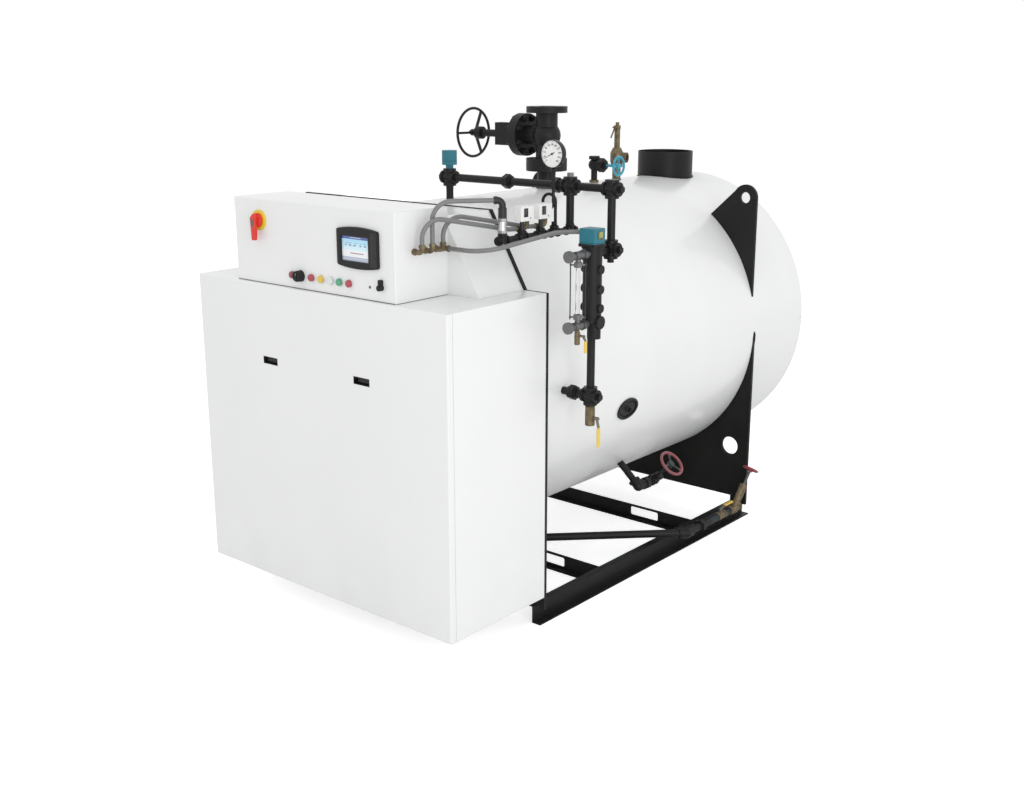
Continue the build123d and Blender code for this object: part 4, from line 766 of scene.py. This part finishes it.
# Each branch's place along the run, and how far its two bands stand before and behind it.
branches = {
    end_valve_y: (0.021, 0.025),
    -0.603: (0.025, 0.025),
    -0.486: (0.025, 0.025),
    siphon_y: (0.022, 0.022),
    header_y: (0.025, 0.025),
}
band = [(0.0135, -0.006), (0.0182, -0.006), (0.0192, -0.004)]
band += [(0.0192, 0.004), (0.0182, 0.006), (0.0135, 0.006)]
spots = [(y + out, manifold_level) for y, (near, far) in branches.items() for out in (-near, far)]
spots = [(tee_x, *spot) for spot in spots]
bands = placed(lathe(band, 28), spots, (0, 1, 0), (1, 0, 0))
surface("manifold_bands", bands, pipe_black)
collar = [(0.0090, 0), (0.0178, 0), (0.0188, 0.002), (0.0188, 0.010)]
collar += [(0.0178, 0.012), (0.0090, 0.012), (0.0090, 0)]
stems = [(tee_x, y, manifold_level + 0.0155) for y in branches]
surface("branch_collars", upright(lathe(collar, 28), stems), pipe_black)
siphon_nut = upright(hex_nut(0.0125, 0.014, 0.0068, 0.0008), (tee_x, siphon_y, 1.7235))
surface("siphon_nut", siphon_nut, pipe_black)


# Low-water probe on the left cross. A teal enamelled cast cover, its lid screwed on
# over a gasket, with a round conduit boss that is plugged on its left side.
def teal_cover(name, seam_level):
    """Teal enamel with the dark joint of the lid at one level."""
    made, sockets, place = finish(name, 0.36, shine=0.35)
    cloud = noise(place, 28, 3)
    joint = part(place, 2).near(seam_level, 0.0006, 0.0005)
    tint = cloud.mix((0.018, 0.155, 0.205), (0.028, 0.195, 0.255))
    hue = (joint * 0.75).mix(tint, (0.01, 0.04, 0.055))
    dress(sockets, hue, 0.32 + cloud * 0.12, noise(place, 340, 2) * 0.0001 - joint * 0.0008, 0.002)
    return made


probe_teal = teal_cover("probe_teal", 1.946)
paint(["low_water_probe"], probe_teal)
plug = [(0, 0), (0.0125, 0), (0.0125, 0.006), (0.0118, 0.0075)]
plug += [(0.008, 0.008), (0.0075, 0.0065), (0, 0.0065)]
plug = placed(lathe(plug, 28), (-0.025, header_y, 1.969), (-1, 0, 0))
surface("probe_boss", plug, probe_teal)


# Manifold end valve: a chromed needle valve between a black nipple and a black elbow.
made, sockets, place = finish("chrome_and_black", 0.2, metal=0.8)
above = part(place, 2).rise(1.780, 1.782)
below = 1 - part(place, 2).rise(1.7225, 1.7235)
black_share = above.maths("MAXIMUM", above, below)
chrome = noise(place, 60, 2).mix((0.55, 0.55, 0.56), (0.9, 0.9, 0.9))
hue = black_share.mix(chrome, grey(0.012))
dress(sockets, hue, 0.14 + black_share * 0.32, noise(place, 300, 2) * 0.00012)
feed(sockets["Metallic"], 1 - black_share)
paint(["manifold_valve"], made)
spots = [(tee_x, end_valve_y, level) for level in (1.7225, 1.768)]
nuts = upright(hex_nut(0.0195, 0.012, 0.0150, 0.0008), spots)
surface("end_valve_nuts", nuts, plated)


# Pressure controls: two white moulded cases on black stems. Each has a dark window
# in its right face and a cover screw under it.
made, sockets, place = finish("white_case", 0.4)
cased = part(place, 2).rise(1.7585, 1.7595)
cloud = noise(place, 40, 2)
white = cloud.mix((0.80, 0.80, 0.79), (0.85, 0.85, 0.845))
dress(sockets, cased.mix(grey(0.012), white), 0.36 + cloud * 0.1, noise(place, 400, 2) * 0.00008, 0.002)
paint(["pressure_controls"], made)


def rightward(grid, places):
    """Copies of a grid that face the right, their x axis to the back."""
    return placed(grid, places, (1, 0, 0), (0, 1, 0))


case_side = 0.699
windows = np.array([(case_side, y, 1.793) for y in (-0.6025, -0.4885)])
rim = pad(oblong(0.024, 0.034, 0.002), 0.0018, 0.0007)
surface("control_frames", rightward(rim, windows), black_moulding)
made, sockets, place = finish("dial_window", 0.12, coat=0.6, coat_rough=0.04)
level = part(place, 2)
scale = ((level * 260).maths("FRACT") < 0.3) * level.between(1.781, 1.805)
feed(sockets["Base Color"], (scale * 0.5).mix((0.018, 0.022, 0.026), (0.25, 0.25, 0.24)))
feed(sockets["Roughness"], 0.1 + noise(place, 60) * 0.06)
pane = rightward(pad(oblong(0.017, 0.027, 0.001), 0.0006, 0.0003), windows + (0.0017, 0, 0))
surface("control_panes", pane, made)
screws = rightward(small_screw, windows + (0, 0.028, -0.023))
surface("control_screws", screws, plated)


# Pressure gauge on its siphon. A black steel case with a rolled rim, a white enamelled
# dial with plain numbers and ticks, a thin black pointer on a hub, and a socket below.
gauge_front, dial_face, gauge_level = -0.4185, -0.4149, 2.011
gauge_black = moulded("gauge_black", (0.013, 0.013, 0.0135), 0.34)
case = [(0, 0), (0.050, 0), (0.0535, 0.0012), (0.055, 0.004), (0.055, 0.0215), (0.0568, 0.0225)]
case += [(0.0570, 0.0275), (0.0562, 0.0295), (0.0550, 0.0300), (0.0541, 0.0295)]
case += [(0.0539, 0.0265), (0, 0.0262)]
case = facing(lathe(case, 96), (tee_x, gauge_front + 0.030, gauge_level))
case = surface("gauge_case", case, gauge_black)
socket = [(0, 0), (0.0090, 0), (0.0090, 0.008), (0.0112, 0.009), (0.0112, 0.020)]
socket += [(0.0085, 0.022), (0.0085, 0.032), (0, 0.032)]
socket = upright(lathe(socket, 32), (tee_x, gauge_front + 0.015, gauge_level - 0.079))
socket = surface("gauge_socket", socket, pipe_black)
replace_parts(case, "pressure_gauge")
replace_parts(socket, "pressure_gauge")
dial_white = moulded("dial_white", (0.84, 0.84, 0.83), 0.25, 0.00001, coat=0.5)
disc = lathe([(0, 0), (0.0535, 0), (0.0535, 0.0002), (0, 0.0002)], 96)
disc = facing(disc, (tee_x, dial_face, gauge_level))
surface("gauge_dial", disc, dial_white)
ink = moulded("dial_ink", (0.02, 0.02, 0.022), 0.45, 0.00001)
sweep_start, sweep = math.radians(225), math.radians(270)
mark_reach, number_reach, number_tall = 0.0505, 0.0375, 0.0094


def tick_marks(count, long, wide):
    """Flat marks of one length, pointing at the hub, evenly round the sweep."""
    turn = sweep_start - np.linspace(0, sweep, count)
    ways = np.stack([np.cos(turn), turn * 0, np.sin(turn)], -1)
    mark = pad(oblong(long, wide, wide * 0.2, 2), 0.00015, 0.00005)
    spots = ways * (mark_reach - long / 2) + (tee_x, dial_face - 0.0002, gauge_level)
    return np.concatenate([placed(mark, spot, face_way, way) for spot, way in zip(spots, ways)])


def flat_number(value):
    """Corners and faces of a printed number, lying in its own plane."""
    words = bpy.data.curves.new("number", "FONT")
    words.body = str(value)
    words.size = number_tall
    words.offset = 0.00022
    words.align_x = "CENTER"
    words.align_y = "CENTER"
    holder = bpy.data.objects.new("number", words)
    bpy.context.scene.collection.objects.link(holder)
    flat = bpy.data.meshes.new_from_object(holder.evaluated_get(bpy.context.evaluated_depsgraph_get()))
    bpy.data.objects.remove(holder)
    points = np.zeros(len(flat.vertices) * 3)
    flat.vertices.foreach_get("co", points)
    faces = [list(face.vertices) for face in flat.polygons]
    bpy.data.meshes.remove(flat)
    return points.reshape(-1, 3), faces


surface("dial_marks", tick_marks(11, 0.0075, 0.0017), ink)
surface("dial_fine_marks", tick_marks(51, 0.0035, 0.0006), ink)
number_points, number_faces = [], []
for step in range(11):
    points, faces = flat_number(step * 30)
    turn = sweep_start - sweep * step / 10
    spot = (number_reach * math.cos(turn), 0, number_reach * math.sin(turn))
    spot = np.add(spot, (tee_x, dial_face - 0.0004, gauge_level))
    number_faces += [[len(number_points) + corner for corner in face] for face in faces]
    number_points += (points[:, [0, 2, 1]] * (1, 0, 1) + spot).tolist()
mesh = bpy.data.meshes.new("dial_numbers")
mesh.from_pydata(number_points, [], number_faces)
mesh.materials.append(ink)
numbers = bpy.data.objects.new("dial_numbers", mesh)
bpy.context.scene.collection.objects.link(numbers)
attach(numbers, "boiler")
pointer_turn = math.radians(207)
pointer_way = (math.cos(pointer_turn), 0, math.sin(pointer_turn))
pointer = rounded([(-0.015, -0.0016), (0.046, -0.0003), (0.046, 0.0003), (-0.015, 0.0016)], 0.0002, 3)
pointer = pad(pointer, 0.0006, 0.0002)
pointer = placed(pointer, (tee_x, dial_face - 0.0012, gauge_level), face_way, pointer_way)
surface("gauge_pointer", pointer, ink)
hub = lathe([(0, 0), (0.0042, 0), (0.0042, 0.0022), (0.0034, 0.0028), (0, 0.003)], 28)
surface("pointer_hub", facing(hub, (tee_x, dial_face, gauge_level)), ink)


# Water column and its head. A black cast barrel with plugged bosses stands on the
# right; the teal cast cover over its float switch has a lid and, in its right face, a
# small framed window with a yellow-green pane.
paint(["water_column"], cast_black)
head_left, head_right, head_front, head_back = 0.846, 0.926, -0.450, -0.378
head_centre = ((head_left + head_right) / 2, (head_front + head_back) / 2, 1.667)
head_wide, head_deep = head_right - head_left, head_back - head_front
head_teal = teal_cover("head_teal", 1.6735)
cover = upright(pad(oblong(head_wide, head_deep, 0.005), 0.063, 0.0035), head_centre)
cover = surface("head_cover", cover, head_teal)
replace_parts(cover, "column_head")
gasket = pad(oblong(head_wide + 0.006, head_deep + 0.004, 0.006), 0.0125, 0.002)
centre = (head_centre[0], head_centre[1], 1.6565)
surface("head_gasket", upright(gasket, centre), black_moulding)
window_y, window_level = -0.4145, 1.7035
rim = pad(oblong(0.037, 0.033, 0.003), 0.0022, 0.0010)
centre = (head_right, window_y, window_level)
frame_olive = moulded("frame_olive", (0.085, 0.125, 0.06), 0.35)
surface("window_frame", rightward(rim, centre), frame_olive)
made, sockets, place = finish("window_disc", 0.25, coat=0.6, coat_rough=0.05)
drum = noise(place, 70, 2)
feed(sockets["Base Color"], drum.mix((0.27, 0.28, 0.07), (0.38, 0.38, 0.10)))
feed(sockets["Roughness"], 0.2 + drum * 0.1)
pane = pad(oblong(0.024, 0.023, 0.002), 0.0006, 0.0003)
centre = (head_right + 0.0020, window_y + 0.003, window_level + 0.002)
surface("window_pane", rightward(pane, centre), made)


# Gauge glass between two plated cocks with round knobs, guarded by two thin rods. Each
# cock has a packing nut behind its knob and a union nut at the barrel.
column_x, glass_y = 0.890, -0.510
made, sockets, place = finish("plated_cocks", 0.36, metal=0.75)
from_glass = place.vector("MULTIPLY", (1, 1, 0)).vector("DISTANCE", (column_x, glass_y, 0), 1)
rods = from_glass.between(0.0265, 0.0335) * part(place, 2).between(1.362, 1.616)
spangle = noise(place, 90, 3)
coating = spangle.mix((0.12, 0.12, 0.123), (0.23, 0.23, 0.235))
hue = rods.mix(coating, (0.055, 0.055, 0.057))
dress(sockets, hue, 0.32 + spangle * 0.18, noise(place, 300, 2) * 0.0001)
paint(["gauge_glass_cocks"], made)
cock_levels = [1.631, 1.347]
packing = [(column_x, glass_y - 0.043, level) for level in cock_levels]
unions = [(column_x, glass_y + 0.044, level) for level in cock_levels]
packing = placed(hex_nut(0.0175, 0.013, 0.0115, 0.003), packing, (0, 1, 0))
unions = placed(hex_nut(0.0230, 0.017, 0.0125, 0.004), unions, face_way)
nut_steel = plated_steel("nut_steel", 0.11, 0.21)
surface("cock_nuts", np.concatenate([packing, unions]), nut_steel)
made, sockets, place = finish("gauge_glass", 0.03)
sockets["Transmission Weight"].default_value = 1.0
sockets["IOR"].default_value = 1.12
feed(sockets["Base Color"], noise(place, 20).mix((0.93, 0.95, 0.95), (0.98, 0.99, 0.99)))
paint(["gauge_glass"], made)


# Ball valves, safety valve, slanted drain valve and the ends of the conduits. Cast or
# turned brass that has dulled to an olive tan, brighter where spanners have been.
def dull_brass(name, bright, dark):
    """Dulled brass between two tones."""
    made, sockets, place = finish(name, 0.42, metal=0.6, shine=0.35)
    cloud = noise(place, 45, 4, 0.6)
    rub = noise(place, 16, 3).rise(0.5, 0.75)
    tan = cloud.rise(0.3, 0.7).mix(dark, bright)
    hue = (rub * 0.5).mix(tan, [c * 1.35 for c in bright])
    dress(sockets, hue, 0.5 - rub * 0.16, noise(place, 380, 3) * 0.00012)
    feed(sockets["Metallic"], 0.5 + rub * 0.3)
    return made


brass_bright, brass_dark = (0.225, 0.176, 0.103), (0.112, 0.088, 0.051)
brass = dull_brass("dull_brass", brass_bright, brass_dark)
paint(["conduit_connectors", "safety_valve", "relief_lever", "drain_wye_valve"], brass)


# Drain valves of the water column and of the gauge glass. Ball valves turned from
# round brass bar, screwed on from below: a plain barrel with eased ends, an open
# bore, and a boss for the stem toward the lever.
def barrel(name, centre, radius, top, foot, boss, reach):
    """Barrel (radius r, from top to foot) along z and its boss along x."""
    eased, nipple, bore = 0.0015, 0.0055, radius * 0.55
    outline = [(0, top), (radius * 0.8, top), (radius * 0.8, top - nipple)]
    outline += [(radius - eased, top - nipple), (radius, top - nipple - eased)]
    outline += [(radius, foot + eased), (radius - eased, foot), (bore, foot)]
    outline += [(bore, foot + radius), (0, foot + radius)]
    body = upright(lathe(outline), centre)
    stem = [(0, 0), (boss, 0), (boss, reach * 0.8), (boss * 0.7, reach * 0.86)]
    stem += [(boss * 0.7, reach), (0, reach)]
    for piece, grid in ((name, body), (name + "_boss", placed(lathe(stem), centre, (1, 0, 0)))):
        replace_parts(surface(piece, grid, brass), "column_valve")


column_y = -0.414
barrel("column_barrel", (column_x, column_y, 0.947), 0.0205, 0.0542, -0.034, 0.0095, 0.0249)
barrel("glass_barrel", (column_x, glass_y, 1.309), 0.0115, 0.0212, -0.038, 0.0075, 0.0159)


# Valve levers. Plated strip, cranked once, with the outer part dipped in yellow vinyl
# that ends in a soft shoulder.
def dipped_lever(name, axis, edge, side):
    """Steel strip whose vinyl covers it beyond the edge, to that side along the axis."""
    made, sockets, place = finish(name, 0.4, coat=0.1)
    dipped = part(place, axis).rise(edge - 0.0006, edge + 0.0006)
    if side < 0:
        dipped = 1 - dipped
    cloud = noise(place, 60, 3)
    strip = cloud.mix((0.17, 0.15, 0.12), (0.27, 0.25, 0.21))
    vinyl = cloud.mix((0.74, 0.50, 0.07), (0.84, 0.60, 0.10))
    dress(sockets, dipped.mix(strip, vinyl), 0.34 + cloud * 0.12, noise(place, 350, 2) * 0.00008, 0.001)
    feed(sockets["Metallic"], 0.7 - dipped * 0.7)
    return made


paint(["column_lever"], dipped_lever("column_vinyl", 2, 0.909, -1))
paint(["glass_cock_lever"], dipped_lever("cock_vinyl", 2, 1.291, -1))
paint(["drain_lever"], dipped_lever("drain_vinyl", 1, 0.933, 1))


# Vent valve on the top line. A black union-bonnet valve screwed on a brass foot welded
# to the shell, with a cyan enamelled wheel; beside it stands the safety valve.
made, sockets, place = finish("black_on_brass", 0.44, shine=0.26)
cloud = noise(place, 22, 4)
foot = 1 - part(place, 2).rise(1.7898, 1.7904)
black = cloud.mix(grey(0.0085), grey(0.0155))
hue = foot.mix(black, cloud.mix(brass_dark, brass_bright))
dress(sockets, hue, 0.4 + cloud * 0.16, noise(place, 420, 3, 0.7) * 0.00018, 0.002)
feed(sockets["Metallic"], foot * 0.5)
paint(["vent_valve"], made)
paint(["vent_handwheel"], moulded("cyan_enamel", (0.03, 0.33, 0.45), 0.33, coat=0.2))
relief_y = 1.000
surface("relief_weld", pipe_bead(relief_y, 0.0225, 0.0032, 28), cast_black)


# Bottom blowdown. A black pipe out of the shell's belly, an elbow and a Y-pattern
# valve; its wheel has a red rim on dark spokes.
paint(["blowdown_pipe"], pipe_black)
paint(["blowdown_valve"], cast_black)


def wheel_enamel(name, hub, way, inner, foot, reds, darks):
    """Red enamel farther than inner from the hub and above foot along the stem; dark below."""
    made, sockets, place = finish(name, 0.36, coat=0.1)
    reach = place.vector("DISTANCE", hub, 1)
    along = place.vector("SUBTRACT", hub).vector("DOT_PRODUCT", way, 1)
    enamelled = (reach > inner) * (along > foot)
    cloud = noise(place, 60, 3)
    hue = enamelled.mix(cloud.mix(*darks), cloud.mix(*reds))
    dress(sockets, hue, 0.3 + cloud * 0.14, noise(place, 400, 2) * 0.0001, 0.001)
    return made


hub, way = (0.7278, 0.486, 0.4868), (math.sqrt(0.5), 0, math.sqrt(0.5))
pinks = [(0.22, 0.055, 0.067), (0.30, 0.085, 0.10)]
greens = [(0.010, 0.018, 0.013), (0.022, 0.031, 0.025)]
paint(["blowdown_handwheel"], wheel_enamel("blowdown_red", hub, way, 0.0475, -0.024, pinks, greens))


# Bottom drain across the skid. Black pipe to a blue-grey union, a brass ball valve, a
# blue-grey nipple and a brass valve with a slanted bonnet and a red wheel.
def two_metals(name, first, second, edge, soft, metal):
    """One finish in front of an edge along y, another beyond it."""
    made, sockets, place = finish(name, 0.42, shine=0.26)
    cloud = noise(place, 30, 4)
    beyond = part(place, 1).rise(edge, edge + soft)
    hue = beyond.mix(cloud.mix(*first), cloud.mix(*second))
    dress(sockets, hue, 0.36 + cloud * 0.16, noise(place, 400, 3) * 0.00012, 0.002)
    feed(sockets["Metallic"], metal[0] + beyond * (metal[1] - metal[0]))
    return made


blacks, brasses = [grey(0.008), grey(0.014)], [brass_dark, brass_bright]
blues = [(0.016, 0.022, 0.030), (0.032, 0.042, 0.053)]
paint(["drain_pipe"], two_metals("drain_pipe_finish", blacks, blues, 0.782, 0.001, (0, 0.2)))
paint(["drain_valve"], two_metals("drain_valve_finish", brasses, blues, 0.932, 0.0006, (0.55, 0.2)))
hub, way = (0.7999, 1.1471, 0.3047), (0.1102, 0.5183, 0.8480)
reds = [(0.25, 0.035, 0.05), (0.34, 0.06, 0.075)]
greys = [(0.06, 0.065, 0.058), (0.12, 0.125, 0.112)]
paint(["drain_handwheel"], wheel_enamel("drain_red", hub, way, 0.0, -0.013, reds, greys))


# Conduits from the control box to the pressure controls and the column head: grey
# vinyl over a wound steel core, slightly mottled, smooth and rubbed.
paint(["conduits"], moulded("grey_conduit", (0.19, 0.192, 0.19), 0.42, coat=0.15))
